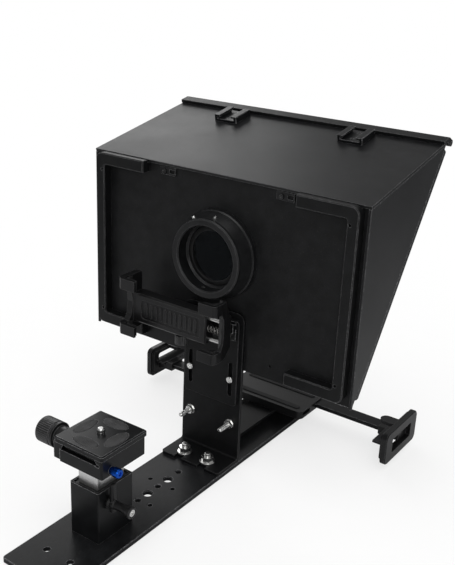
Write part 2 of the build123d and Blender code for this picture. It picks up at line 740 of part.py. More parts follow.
# the same axis in WINDOW_SIDE
HINGE_SLOPE = HINGE_Y * cos(SLOPE) + (HINGE_Z - HOOD_BOT) * sin(SLOPE)
HINGE_OFF = (HINGE_Z - HOOD_BOT) * cos(SLOPE) - HINGE_Y * sin(SLOPE)
KNUCKLE_R = 3.0
TRIM_HALF = HOOD_HALF + 1.0
TRIM_KNUCKLES = ((-TRIM_HALF, -125.0), (-8.0, 8.0), (125.0, TRIM_HALF))    # x from, to
FRAME_KNUCKLES = ((-124.0, -104.0), (104.0, 124.0))
TRIM_PROFILE = [
    (129.8, 0.05), (137.9, 0.05), (137.9, -2.4), (140.2, -2.4), (140.2, 3.4), (129.8, 3.4),
]


def hood_front_trim():
    with BuildPart() as trim:
        with BuildSketch(TOP_SIDE.offset(-TRIM_HALF)) as section:
            with BuildLine():
                Polyline(*TRIM_PROFILE, close=True)
            make_face()
            # sketch points are local (Z = 0), so this height picks no corner
            fillet(section.vertices().filter_by(lambda v: v.Z > HOOD_TOP + 31.5), 0.9)
        extrude(amount=2 * TRIM_HALF)
        for start, end in TRIM_KNUCKLES:
            with BuildSketch(TOP_SIDE.offset(start)):
                with Locations((HINGE_ALONG, HINGE_UP)):
                    Circle(KNUCKLE_R)
                with BuildLine():
                    Polyline(
                        (139.0, -2.4), (139.0, 2.6), (141.5, 2.6),
                        (HINGE_ALONG + 2.6, HINGE_UP + 1.5), (HINGE_ALONG, HINGE_UP),
                        close=True,
                    )
                make_face()
            extrude(amount=end - start)
        with BuildSketch(TOP_SIDE.offset(-160)):
            with Locations((HINGE_ALONG, HINGE_UP)):
                Circle(1.52)
        extrude(amount=320, mode=Mode.SUBTRACT)
    return trim.part


def hinge_rod():
    with BuildPart() as rod:
        with BuildSketch(Plane.YZ.offset(-140.5)):
            with Locations((HINGE_Y, HINGE_Z)):
                Circle(1.5)
        extrude(amount=281)
    return rod.part


# ---- slanted window ----
WINDOW_LOW, WINDOW_HIGH = 9.0, 236.5    # the frame's ends along the slope
WINDOW_MID = (0, (WINDOW_LOW + WINDOW_HIGH) / 2)


def window_size(inset):
    """Width and length of the window frame's outline, shrunk by inset on every side."""
    return 2 * (HOOD_HALF - inset), WINDOW_HIGH - WINDOW_LOW - 2 * inset


def glass_frame():
    with BuildPart() as frame:
        with BuildSketch(WINDOW_PLANE.offset(0.5)):
            with Locations(WINDOW_MID):
                RectangleRounded(*window_size(0), 3)
                Rectangle(*window_size(9), mode=Mode.SUBTRACT)
        extrude(amount=4.2)
        # rebate for the glass
        with BuildSketch(WINDOW_PLANE.offset(2.4)):
            with Locations(WINDOW_MID):
                Rectangle(*window_size(5))
        extrude(amount=4, mode=Mode.SUBTRACT)
        # hinge knuckles on the upper edge
        for start, end in FRAME_KNUCKLES:
            with BuildSketch(WINDOW_SIDE.offset(start)):
                with Locations((HINGE_SLOPE, HINGE_OFF)):
                    Circle(KNUCKLE_R)
                with BuildLine():
                    Polyline(
                        (WINDOW_HIGH - 2.5, -4.7), (WINDOW_HIGH - 2.5, -2.6),
                        (WINDOW_HIGH + 0.5, -2.9), (HINGE_SLOPE - 3.2, HINGE_OFF + 1.2),
                        (HINGE_SLOPE, HINGE_OFF + 0.6), (HINGE_SLOPE, HINGE_OFF - 3.0),
                        (HINGE_SLOPE - 4, HINGE_OFF - 1.2), close=True,
                    )
                make_face()
            extrude(amount=end - start)
        with BuildSketch(WINDOW_SIDE.offset(-160)):
            with Locations((HINGE_SLOPE, HINGE_OFF)):
                Circle(1.56)
        extrude(amount=320, mode=Mode.SUBTRACT)
    return frame.part


def beam_splitter_glass():
    with BuildPart() as glass:
        with BuildSketch(WINDOW_PLANE.offset(2.45)):
            with Locations(WINDOW_MID):
                Rectangle(*window_size(5.3))
        extrude(amount=2.2)
    return glass.part


def glass_gasket():
    """Soft bead that holds the glass in its rebate."""
    with BuildPart() as bead:
        with BuildSketch(WINDOW_PLANE.offset(4.66)):
            with Locations(WINDOW_MID):
                Rectangle(*window_size(5.05))
                Rectangle(*window_size(10.5), mode=Mode.SUBTRACT)
        extrude(amount=1.3)
        fillet(bead.faces().sort_by(Axis((0, 0, 0), WINDOW_NORMAL))[-1].edges(), 0.5)
    return bead.part


# ======================= lens ring =======================
LENS_PLANE = Plane(origin=(0, 0, LENS_Z), x_dir=(1, 0, 0), z_dir=(0, 0, 1))
LENS_AXIS = Axis((0, 0, LENS_Z), (0, 1, 0))
GRIP_Y = -11.5
# radius, y
RING_PROFILE = [
    (LENS_BORE, PANEL_REAR + 1.6), (30.8, PANEL_REAR + 1.6), (30.8, PANEL_REAR),
    (39.5, PANEL_REAR), (39.5, -2.0), (38.6, -3.2), (35.2, -14.5), (35.0, -17.0),
    (34.0, -18.0), (29.6, -18.0), (28.6, -17.0), (28.6, -6.0), (LENS_BORE, -4.4),
]
LENS_GASKET_PROFILE = [
    (26.9, -3.6), (26.9, 2.0), (25.5, 2.0), (25.5, -2.4), (22.2, -4.6), (22.2, -5.8),
    (25.4, -4.4),
]


def lens_ring():
    with BuildPart() as ring:
        with BuildSketch(LENS_PLANE):
            with BuildLine():
                Polyline(*RING_PROFILE, close=True)
            make_face()
        revolve(axis=LENS_AXIS)
        with BuildSketch(y_plane(PANEL_REAR)):
            with Locations((0, LENS_Z)):
                with PolarLocations(LENS_SCREW_R, 3, start_angle=90):
                    Circle(1.52)
        extrude(amount=3.4, mode=Mode.SUBTRACT)
        # radial holes for the three grip screws
        for angle in GRIP_ANGLES:
            out_x, out_z = cos(radians(angle)), sin(radians(angle))
            start = (20 * out_x, GRIP_Y, LENS_Z + 20 * out_z)
            with BuildSketch(Plane(origin=start, z_dir=(out_x, 0, out_z))):
                Circle(1.53)
            extrude(amount=30, mode=Mode.SUBTRACT)
    return ring.part


def ring_set_screws():
    with BuildPart() as screw:
        with BuildSketch(Plane.XY.offset(29.0)):
            Circle(1.5)
        extrude(amount=8.4)
        with BuildSketch(Plane.XY.offset(35.9)):
            RegularPolygon(0.85, 6)
        extrude(amount=3, mode=Mode.SUBTRACT)
    radial_planes = [
        Plane(
            origin=(0, GRIP_Y, LENS_Z), x_dir=(0, 1, 0),
            z_dir=(cos(radians(angle)), 0, sin(radians(angle))),
        )
        for angle in GRIP_ANGLES
    ]
    return Compound(children=[plane.location * screw.part for plane in radial_planes])


def lens_gasket():
    with BuildPart() as gasket:
        with BuildSketch(LENS_PLANE):
            with BuildLine():
                Polyline(*LENS_GASKET_PROFILE, close=True)
            make_face()
        revolve(axis=LENS_AXIS)
    return gasket.part


# ======================= cold shoes on the top panel =======================
SHOE_START, SHOE_LEN = 101, 24  # along the top panel
# x, height above the panel
SHOE_PROFILE = [
    (-12.4, 0.05), (12.4, 0.05), (12.4, 6.6), (6.4, 6.6), (6.4, 4.9), (9.4, 4.9),
    (9.4, 2.7), (-9.4, 2.7), (-9.4, 4.9), (-6.4, 4.9), (-6.4, 6.6), (-12.4, 6.6),
]


def cold_shoes():
    # faces back along the top panel
    section = Plane(
        origin=(0, 0, HOOD_TOP), x_dir=(1, 0, 0), z_dir=(0, -cos(TILT), -sin(TILT))
    )
    with BuildPart() as shoe:
        with BuildSketch(section.offset(-SHOE_START)):
            with BuildLine():
                Polyline(*SHOE_PROFILE, close=True)
            make_face()
        extrude(amount=-SHOE_LEN)
        with BuildSketch(TOP_PLANE):
            with Locations(*[(0, along) for along in SHOE_SCREWS]):
                Circle(1.6)
        extrude(amount=3, mode=Mode.SUBTRACT)
        by_x = shoe.edges().group_by(Axis.X)
        chamfer(by_x[0] + by_x[-1], 0.5)
    return Compound(children=[Pos(x, 0, 0) * shoe.part for x in (-SHOE_X, SHOE_X)])


# ======================= pan-head screws of the box =======================
def screw_seat(x, y, z, head_dir):
    return Plane(origin=(x, y, z), x_dir=(1, 0, 0), z_dir=head_dir)


def box_screws():
    """Frames, lens ring and upright from inside the box, cold shoes from below the top
    panel, latches from behind."""
    gap = 0.01                  # between head and sheet
    with BuildPart() as screw:
        with BuildSketch(Plane.XY):
            Circle(2.6)
        extrude(amount=1.5)
        fillet(screw.edges().group_by(Axis.Z)[-1], 0.7)
        with BuildSketch(Plane.XY):
            Circle(1.5)
        extrude(amount=-4.9)
        # cross recess
        with BuildSketch(Plane.XY.offset(0.7)):
            Rectangle(3.0, 0.6)
            Rectangle(0.6, 3.0)
        extrude(amount=2, mode=Mode.SUBTRACT)

    lens_points = [
        (LENS_SCREW_R * cos(radians(angle)), LENS_Z + LENS_SCREW_R * sin(radians(angle)))
        for angle in (90, 210, 330)
    ]
    on_panel = [
        screw_seat(x, PANEL_FRONT + gap, z, (0, 1, 0)) for x, z in lens_points + PANEL_MOUNTS
    ]
    on_flanges = [
        screw_seat(x, PANEL_FRONT + SIDE_FLANGE_T + 0.06, z, (0, 1, 0))
        for x in (-SIDE_SCREW_X, SIDE_SCREW_X) for z in SIDE_SCREW_ZS
    ]
    on_latches = [
        screw_seat(x, PANEL_REAR - 1.5 - gap, LATCH_SCREW_Z, (0, -1, 0))
        for x in (LATCH_X, -LATCH_X)
    ]
    under_top = [
        screw_seat(
            x,
            along * cos(TILT) + (WALL + gap) * sin(TILT),
            HOOD_TOP + along * sin(TILT) - (WALL + gap) * cos(TILT),
            (0, sin(TILT), -cos(TILT)),
        )
        for x in (SHOE_X, -SHOE_X) for along in SHOE_SCREWS
    ]
    seats = on_panel + on_flanges + on_latches + under_top
    return Compound(children=[seat.location * screw.part for seat in seats])


# ======================= phone arm and clamp =======================
PHONE_ARM_REAR = UP_REAR - UP_T
RAIL_SCREW_X, RAIL_SCREW_Z = 20.0, DECK + 127
RAIL_REAR_Y = -5.6              # rear face of the clamp rail's web
# clamp rail: y, height above the deck
CLAMP_RAIL_PROFILE = above_deck(
    (-3.55, 122), (-3.55, 140), (RAIL_REAR_Y, 140), (RAIL_REAR_Y, 137),
    (-10.0, 139.4), (-10.0, 130.6), (RAIL_REAR_Y, 133), (RAIL_REAR_Y, 122),
)
CLAMP_RODS = [(-18, CLAMP_Z - 9.5), (-18, CLAMP_Z + 9.5)]
CLAMP_SPRING_Y = -17.6
SPRING_BORE = 3.8
LOCK_SCREW_AT = (-24, -15.4)
HOOK_BOT, HOOK_H = DECK + 112, 53
JAW_RIGHT = 29.5                # outer face of the moving jaw
# clamp parts seen from above: x, y
BODY_OUTLINE = [(-76, -13), (-70, -11.2), (8, -11.2), (8, -24), (-70, -24), (-76, -26)]
LEFT_JAW_OUTLINE = [
    (-78.5, -15), (-72.5, -13), (-72.5, -36.6), (-60, -36.6), (-58, -38.2),
    (-58, -40.6), (-74, -40.6), (-78.5, -36.5),
]
RIGHT_JAW_OUTLINE = [
    (JAW_RIGHT, -29), (27.6, -21), (26.8, -13), (25.5, -11.5), (22.5, -11.5),
    (22.5, -24.5), (26.5, -26), (26.5, -36.6), (14, -36.6), (12, -38.2),
    (12, -40.6), (28, -40.6), (JAW_RIGHT, -37),
]
HOOK_PAD_OUTLINE = [
    (26.5, -26.4), (26.5, -36.6), (14.2, -36.6), (13.2, -35.2), (14.6, -34.6),
    (24.6, -34.6), (24.6, -26.4),
]
# clamp parts seen from the side: y, height above the deck
SHOE_GRIP = above_deck((-11.3, 124.5), (-6.8, 126.0), (-6.8, 143.5), (-11.3, 145))
DOVETAIL_CUT = above_deck(
    (-4, 132.85), (-5.6, 132.85), (-10.1, 130.4), (-10.1, 139.6), (-5.6, 137.15), (-4, 137.15)
)
HEAD_CLEARANCE = above_deck(
    (-4, 122.0), (-9.4, 122.0), (-9.4, 130.4), (-6.5, 131.6), (-4, 131.6)
)
WAIST_CUT = above_deck(
    (-50, 121.5), (-31, 121.5), (-27, 127), (-25.5, 138.5), (-27, 150), (-31, 155), (-50, 155)
)


def phone_arm():
    with BuildPart() as arm:
        with BuildSketch(y_plane(UP_REAR)):
            with Locations((0, DECK + 98.5)):
                RectangleRounded(58, 83, 4)
            with Locations(*both_sides(MOUNT_X, PHONE_SCREW_Z)):
                SlotOverall(33, 4.5, rotation=90, mode=Mode.SUBTRACT)
            with Locations(*both_sides(RAIL_SCREW_X, RAIL_SCREW_Z)):
                Circle(2.03, mode=Mode.SUBTRACT)
        extrude(amount=UP_T)
        chamfer(arm.faces().sort_by(Axis.Y)[0].outer_wire().edges(), 0.4)
    return arm.part


def arm_screws():
    """Two screws through the phone arm's slots into the upright."""
    with BuildPart() as screw:
        with BuildSketch(y_plane(PHONE_ARM_REAR - 0.05)):
            Circle(3.2)
        extrude(amount=2.0)
        fillet(screw.edges().group_by(Axis.Y)[0], 1.0)
        with BuildSketch(y_plane(PHONE_ARM_REAR - 0.1)):
            Circle(2.0)
        extrude(amount=-6.0)
        with BuildSketch(y_plane(PHONE_ARM_REAR - 1.1)):
            RegularPolygon(1.3, 6)
        extrude(amount=3, mode=Mode.SUBTRACT)
    return Compound(children=[Pos(x, 0, PHONE_SCREW_Z) * screw.part for x in (-MOUNT_X, MOUNT_X)])


def clamp_rail():
    """Dovetail rail across the arm."""
    with BuildPart() as rail:
        with BuildSketch(Plane.YZ.offset(-27)):
            with BuildLine():
                Polyline(*CLAMP_RAIL_PROFILE, close=True)
            make_face()
        extrude(amount=54)
        with BuildSketch(y_plane(-2)):
            with Locations(*both_sides(RAIL_SCREW_X, RAIL_SCREW_Z)):
                Circle(2.1)
        extrude(amount=10, mode=Mode.SUBTRACT)
    return rail.part


def rail_screws():
    """Two hexagon-head screws that hold the dovetail rail."""
    with BuildPart() as screw:
        with BuildSketch(y_plane(RAIL_REAR_Y - 0.05)):
            RegularPolygon(3.5, 6, major_radius=False)
        extrude(amount=2.8)
        # trims the hexagon's corners
        with BuildSketch(y_plane(RAIL_REAR_Y - 0.05)):
            Circle(3.75)
        extrude(amount=3.2, mode=Mode.INTERSECT)
        with BuildSketch(y_plane(RAIL_REAR_Y - 0.1)):
            Circle(2.0)
        extrude(amount=-5.0)
    return Compound(
        children=[Pos(x, 0, RAIL_SCREW_Z) * screw.part for x in (-RAIL_SCREW_X, RAIL_SCREW_X)]
    )


def clamp_body():
    """Clamp body with the fixed left jaw."""
    with BuildPart() as body:
        with BuildSketch(Plane.XY.offset(CLAMP_Z - 14)):
            with BuildLine():
                Polyline(*BODY_OUTLINE, close=True)
            make_face()
        extrude(amount=28)
        chamfer(body.faces().sort_by(Axis.X)[-1].edges(), 1.2)
        chamfer(body.edges().filter_by(Axis.X).filter_by(lambda e: e.center().Y < -20), 1.5)
        # shallow panel sunk in the rear face, with raised bars
        with BuildSketch(y_plane(-24.0)):
            with Locations((-31, CLAMP_Z)):
                RectangleRounded(66, 18, 3)
                with GridLocations(5.5, 0, 11, 1):
                    RectangleRounded(2.6, 13, 1.2, mode=Mode.SUBTRACT)
        extrude(amount=-0.9, mode=Mode.SUBTRACT)
        # shoe that grips the dovetail rail
        with BuildSketch(Plane.YZ.offset(-42)):
            with BuildLine():
                Polyline(*SHOE_GRIP, close=True)
            make_face()
        extrude(amount=46)
        with BuildSketch(Plane.YZ.offset(-60)):
            with BuildLine():
                Polyline(*DOVETAIL_CUT, close=True)
            make_face()
        extrude(amount=100, mode=Mode.SUBTRACT)
        # clearance for the screw heads when the clamp is shifted
        with BuildSketch(Plane.YZ.offset(-60)):
            with BuildLine():
                Polyline(*HEAD_CLEARANCE, close=True)
            make_face()
        extrude(amount=100, mode=Mode.SUBTRACT)
        # left jaw: spine and two hooks
        with BuildSketch(Plane.XY.offset(HOOK_BOT)):
            with BuildLine():
                Polyline(*LEFT_JAW_OUTLINE, close=True)
            jaw = make_face()
            fillet(jaw.vertices().filter_by(lambda v: v.X < -73 and v.Y < -30), 2.5)
        extrude(amount=HOOK_H)
        # concave waist between the hooks
        with BuildSketch(Plane.YZ.offset(-90)):
            with BuildLine():
                Polyline(*WAIST_CUT, close=True)
            make_face()
        extrude(amount=40, mode=Mode.SUBTRACT)
        # bores for guide rods and pull spring
        with BuildSketch(Plane.YZ.offset(9)):
            with Locations(*CLAMP_RODS):
                Circle(2.06)
        extrude(amount=-64, mode=Mode.SUBTRACT)
        with BuildSketch(Plane.YZ.offset(9)):
            with Locations((CLAMP_SPRING_Y, CLAMP_Z)):
                Circle(SPRING_BORE)
        extrude(amount=-66, mode=Mode.SUBTRACT)
        # shallow hole in the underside above the lock screw
        with BuildSketch(Plane.XY.offset(CLAMP_Z - 15)):
            with Locations(LOCK_SCREW_AT):
                Circle(1.0)
        extrude(amount=2, mode=Mode.SUBTRACT)
    return body.part


def clamp_jaw():
    """Moving right jaw."""
    with BuildPart() as jaw:
        with BuildSketch(Plane.XY.offset(HOOK_BOT)):
            with BuildLine():
                Polyline(*RIGHT_JAW_OUTLINE, close=True)
            outline = make_face()
            fillet(outline.vertices().filter_by(lambda v: v.X > 27 and v.Y < -30), 2.5)
        extrude(amount=HOOK_H)
        # concave waist between the hooks
        with BuildSketch(Plane.YZ.offset(10)):
            with BuildLine():
                Polyline(*WAIST_CUT, close=True)
            make_face()
        extrude(amount=40, mode=Mode.SUBTRACT)
        # cuts the front block down, below and above, to about the body's height
        with BuildSketch(Plane.YZ.offset(20)):
            with BuildLine():
                Polyline(
                    (-27, DECK + 100), (-8, DECK + 100), (-8, CLAMP_Z - 15),
                    (-15, CLAMP_Z - 15), (-24.5, DECK + 110), (-27, DECK + 110), close=True,
                )
            make_face()
            with BuildLine():
                Polyline(
                    (-8, CLAMP_Z + 15), (-15, CLAMP_Z + 15),
                    (-24.5, DECK + 168), (-8, DECK + 168), close=True,
                )
            make_face()
        extrude(amount=30, mode=Mode.SUBTRACT)
        # bores for guide rods and pull spring
        with BuildSketch(Plane.YZ.offset(20)):
            with Locations(*CLAMP_RODS):
                Circle(2.02)
        extrude(amount=5.2, mode=Mode.SUBTRACT)
        with BuildSketch(Plane.YZ.offset(20)):
            with Locations((CLAMP_SPRING_Y, CLAMP_Z)):
                Circle(SPRING_BORE)
        extrude(amount=5.0, mode=Mode.SUBTRACT)
    return jaw.part


def clamp_rods():
    with BuildPart() as rods:
        with BuildSketch(Plane.YZ.offset(-36)):
            with Locations(*CLAMP_RODS):
                Circle(2.0)
        extrude(amount=61)
        fillet(rods.edges().group_by(Axis.X)[-1], 0.6)
    return rods.part


def clamp_spring():
    return coil_spring(
        (-55, CLAMP_SPRING_Y, CLAMP_Z), pitch=4.0, length=78.4, radius=2.9, wire_radius=0.5
    )


HOOK_PAD_ZS = (HOOK_BOT + 0.05, HOOK_BOT + 43.05)


def hook_pad():
    """One ribbed rubber shoe for the inside of a right-hand hook, at z = 0."""
    with BuildPart() as pad:
        with BuildSketch(Plane.XY):
            with BuildLine():
                Polyline(*HOOK_PAD_OUTLINE, close=True)
            make_face()
        extrude(amount=9.4)
        with BuildSketch(Plane.YZ.offset(24.6)):
            with Locations((-30.5, 4.7)):
                with GridLocations(0, 1.9, 1, 4):
                    Rectangle(8.4, 0.7)
        extrude(amount=0.6, mode=Mode.SUBTRACT)
    return pad.part


def clamp_pads_moving():
    pad = hook_pad()
    return Compound(children=[Pos(0, 0, z) * pad for z in HOOK_PAD_ZS])


def clamp_pads_fixed():
    pad = mirror(hook_pad(), about=Plane.YZ)
    return Compound(children=[Pos(-46, 0, z) * pad for z in HOOK_PAD_ZS])


# ======================= tablet arm and holder =======================
ARM_T = 3.0
ARM_FRONT = 148.0
PLATE_FRONT = UP_FRONT + ARM_T  # front of the arm's upright plate
HOLDER_Z = TABLET_ARM_Z + 3.05  # underside of the holder body
HOLDER_H = 8.0
CHANNEL_OFFSET = 12.0           # slide channels from the holder's centre line
CHANNEL_MID_Z = HOLDER_Z + 4.6
SLIDE_H = 4.05
# turns a right-hand piece half a turn about the holder's centre
HALF_TURN = Pos(0, HOLD_Y, 0) * Rot(0, 0, 180) * Pos(0, -HOLD_Y, 0)


def tablet_arm():
    with BuildPart() as arm:
        with BuildSketch(y_plane(UP_FRONT)):
            with Locations((0, DECK + 29.5)):
                RectangleRounded(56, 45, 4)
            with Locations(*both_sides(MOUNT_X, TABLET_BOLT_Z)):
                Circle(2.1, mode=Mode.SUBTRACT)
        extrude(amount=-ARM_T)
        with BuildSketch(Plane.XY.offset(TABLET_ARM_Z)):
            with Locations((0, (UP_FRONT + ARM_FRONT) / 2)):
                Rectangle(30, ARM_FRONT - UP_FRONT)
            with Locations((0, HOLD_Y)):
                SlotOverall(50, 6.8, rotation=90, mode=Mode.SUBTRACT)
        extrude(amount=ARM_T)
        front_corners = arm.edges().filter_by(Axis.Z).filter_by(lambda e: e.center().Y > 147)
        fillet(front_corners, 6)
        # stiffening ribs in the bend
        rib_y, rib_z = PLATE_FRONT - 0.1, TABLET_ARM_Z + ARM_T - 0.1
        with BuildSketch(Plane.YZ.offset(12)):
            with BuildLine():
                Polyline((rib_y, rib_z), (rib_y + 15.1, rib_z), (rib_y, rib_z + 15.1), close=True)
            make_face()
        rib = extrude(amount=2.5)
        mirror(rib, about=Plane.YZ)
    return arm.part


def tablet_arm_bolts():
    with BuildPart() as bolt:
        with BuildSketch(y_plane(PLATE_FRONT + 0.05)):
            Circle(4.4)
        extrude(amount=-3.2)
        fillet(bolt.edges().group_by(Axis.Y)[-1], 1.2)
        with BuildSketch(y_plane(PLATE_FRONT + 0.1)):
            Circle(2.0)
        extrude(amount=PLATE_FRONT + 0.1 + 17.5)
        chamfer(bolt.edges().group_by(Axis.Y)[0], 0.7)
        with BuildSketch(y_plane(PLATE_FRONT + 1.4)):
            RegularPolygon(1.6, 6)
        extrude(amount=-3, mode=Mode.SUBTRACT)
    return Compound(children=[Pos(x, 0, TABLET_BOLT_Z) * bolt.part for x in (-MOUNT_X, MOUNT_X)])


def tablet_arm_nuts():
    """Nuts with a round collar, on the rear of the upright."""
    with BuildPart() as nut:
        with BuildSketch(y_plane(UP_REAR - 0.02)):
            Circle(4.5)
            Circle(2.1, mode=Mode.SUBTRACT)
        extrude(amount=1.0)
        with BuildSketch(y_plane(UP_REAR - 1.0)):
            RegularPolygon(3.5, 6, major_radius=False, rotation=12)
            Circle(2.03, mode=Mode.SUBTRACT)
        extrude(amount=3.2)
    return Compound(children=[Pos(x, 0, TABLET_BOLT_Z) * nut.part for x in (-MOUNT_X, MOUNT_X)])


def holder_body():
    """Shallow block with two side-by-side slide channels."""
    with BuildPart() as body:
        with BuildSketch(Plane.XY.offset(HOLDER_Z)):
            with Locations((0, HOLD_Y)):
                RectangleRounded(92, 46, 5)
        extrude(amount=HOLDER_H)
        with BuildSketch(Plane.YZ.offset(-47)):
            with Locations(
                (HOLD_Y + CHANNEL_OFFSET, CHANNEL_MID_Z), (HOLD_Y - CHANNEL_OFFSET, CHANNEL_MID_Z)
            ):
                Rectangle(14.2, 4.2)
        extrude(amount=94, mode=Mode.SUBTRACT)
        # spring chamber between the channels, closed at the floor
        with BuildSketch(Plane.XY.offset(HOLDER_Z + 2.5)):
            with Locations((0, HOLD_Y)):
                Rectangle(76, 12)
        extrude(amount=4.2, mode=Mode.SUBTRACT)
        with Locations((0, HOLD_Y, HOLDER_Z)):
            Hole(3.03, depth=2.4)
    return body.part


def holder_pads():
    """Rubber strips on top of the holder body."""
    with BuildPart() as pads:
        with BuildSketch(Plane.XY.offset(HOLDER_Z + HOLDER_H)):
            with Locations((0, HOLD_Y - 15), (0, HOLD_Y + 15)):
                SlotOverall(80, 7)
        extrude(amount=1.2)
        fillet(pads.edges().group_by(Axis.Z)[-1], 0.5)
    return pads.part


def holder_screw():
    """Thumb screw under the tablet arm, with a fluted head."""
    with BuildPart() as screw:
        with BuildSketch(Plane.XY.offset(DECK + 1.6)):
            with Locations((0, HOLD_Y)):
                Circle(9.0)
                with PolarLocations(9.4, 24):
                    Circle(0.7, mode=Mode.SUBTRACT)
        extrude(amount=5.3)
        with BuildSketch(Plane.XY.offset(DECK + 6.8)):
            with Locations((0, HOLD_Y)):
                Circle(3.0)
        extrude(amount=5.2)
    return screw.part


def holder_slide_right():
    """Slide bar with a spring lug at its inner end."""
    with BuildPart() as slide:
        with BuildSketch(Plane.XY.offset(HOLDER_Z + 2.55)):
            with BuildLine():
                Polyline(
                    (-34, HOLD_Y + 5.05), (132, HOLD_Y + 5.05),
                    (132, HOLD_Y + 18.95), (-34, HOLD_Y + 18.95), close=True,
                )
            make_face()
            with Locations((-31.5, HOLD_Y + 3.0)):
                Rectangle(4, 6)
        extrude(amount=SLIDE_H)
    return slide.part


def holder_slide_left():
    return HALF_TURN * holder_slide_right()


def holder_clip_right():
    """Windowed end clip with its top finger and support ledge."""
    clip_centre = (HOLD_Y, DECK + 17)
    with BuildPart() as clip:
        with BuildSketch(Plane.YZ.offset(137)):
            with Locations(clip_centre):
                RectangleRounded(66, 32, 6)
                RectangleRounded(40, 14.5, 2, mode=Mode.SUBTRACT)
        extrude(amount=5.5)
        chamfer(clip.faces().sort_by(Axis.X)[-1].outer_wire().edges(), 0.9)
        # raised rim on the inner side
        with BuildSketch(Plane.YZ.offset(134.5)):
            with Locations(clip_centre):
                RectangleRounded(60, 26, 4)
                RectangleRounded(44, 18, 3, mode=Mode.SUBTRACT)
        extrude(amount=2.6)
        # socket over the end of the slide bar
        with BuildSketch(Plane.XY.offset(HOLDER_Z + 0.2)):
            with Locations((127.5, HOLD_Y + CHANNEL_OFFSET)):
                Rectangle(21, 18.5)
        extrude(amount=8.4)
        with BuildSketch(Plane.XY.offset(HOLDER_Z + 2.53)):
            with Locations((124.5, HOLD_Y + CHANNEL_OFFSET)):
                Rectangle(15.1, 13.94)
        extrude(amount=SLIDE_H + 0.04, mode=Mode.SUBTRACT)
        # support ledge
        with BuildSketch(Plane.XY.offset(HOLDER_Z + 6.7)):
            with Locations((131, HOLD_Y)):
                Rectangle(13, 50)
        extrude(amount=2.3)
        # top finger, its outer end cut square
        with BuildSketch(Plane.XY.offset(DECK + 27.6)):
            with Locations((130, HOLD_Y)):
                SlotOverall(20, 12)
            with Locations((143, HOLD_Y)):
                Rectangle(12.5, 30, mode=Mode.SUBTRACT)
        extrude(amount=3.4)
    return clip.part


def holder_clip_left():
    return HALF_TURN * holder_clip_right()


def holder_spring():
    return coil_spring(
        (-29, HOLD_Y, CHANNEL_MID_Z), pitch=2.9, length=58, radius=1.45, wire_radius=0.3
    )


def clamp_lock_screw():
    """Lock screw of the phone clamp, reached from below."""
    with BuildPart() as screw:
        with BuildSketch(Plane.XY.offset(CLAMP_Z - 24.5)):
            with Locations(LOCK_SCREW_AT):
                Circle(6.0)
                with PolarLocations(6.4, 18):
                    Circle(0.7, mode=Mode.SUBTRACT)
        extrude(amount=8.5)
        with BuildSketch(Plane.XY.offset(CLAMP_Z - 16.1)):
            with Locations(LOCK_SCREW_AT):
                Circle(2.0)
        extrude(amount=2.0)
    return screw.part


# ======================= export =======================
# each function is named after its piece and file
PIECES = (
    base_rail, upright_bracket, rail_bolts, bracket_washers, bracket_nuts,
    riser_tube, riser_bushing, riser_post, lock_lever, lever_screw,
    qr_base, qr_mount_screw, qr_jaw, qr_guide_rods, qr_knob, qr_knob_shaft,
    qr_plate, qr_plate_pads, camera_screw, safety_pin, pin_spring,
    hood_top, hood_side_right, hood_side_left, hood_back,
    panel_frame_right, panel_frame_left, hood_latches, hood_front_trim, hinge_rod,
    glass_frame, beam_splitter_glass, glass_gasket,
    lens_ring, ring_set_screws, lens_gasket, cold_shoes, box_screws,
    phone_arm, arm_screws, clamp_rail, rail_screws, clamp_body, clamp_jaw,
    clamp_rods, clamp_spring, clamp_pads_moving, clamp_pads_fixed,
    tablet_arm, tablet_arm_bolts, tablet_arm_nuts, holder_body, holder_pads,
    holder_screw, holder_slide_right, holder_slide_left,
    holder_clip_right, holder_clip_left, holder_spring, clamp_lock_screw,
)

os.makedirs("parts", exist_ok=True)
for piece in PIECES:
    shape = piece()
    shape.label = piece.__name__
    export_step(shape, f"parts/{piece.__name__}.step")
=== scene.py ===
# A teleprompter: a hood with a sloping beam-splitter glass, a lens ring, a camera plate on a
# base rail, and holders for a phone and a tablet.
# Metres, Z up. The front is toward +Y, left is -X, and the product stands on z = 0.
import bpy
import bmesh
import math
import random
from mathutils import Vector, Matrix


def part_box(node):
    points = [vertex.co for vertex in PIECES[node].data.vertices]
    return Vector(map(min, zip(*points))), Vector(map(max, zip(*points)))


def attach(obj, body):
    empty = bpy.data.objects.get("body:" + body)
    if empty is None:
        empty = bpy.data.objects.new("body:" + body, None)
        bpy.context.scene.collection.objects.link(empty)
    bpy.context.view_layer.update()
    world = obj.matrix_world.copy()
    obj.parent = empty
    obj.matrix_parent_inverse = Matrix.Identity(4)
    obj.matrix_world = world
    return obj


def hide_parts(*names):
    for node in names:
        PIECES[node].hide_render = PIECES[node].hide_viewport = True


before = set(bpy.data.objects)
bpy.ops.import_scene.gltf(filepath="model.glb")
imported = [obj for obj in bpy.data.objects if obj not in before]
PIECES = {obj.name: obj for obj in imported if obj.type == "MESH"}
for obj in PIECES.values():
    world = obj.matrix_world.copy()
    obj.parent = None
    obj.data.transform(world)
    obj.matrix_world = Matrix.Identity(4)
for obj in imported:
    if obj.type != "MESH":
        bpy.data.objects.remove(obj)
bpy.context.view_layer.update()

random.seed(7)
MM = 0.001


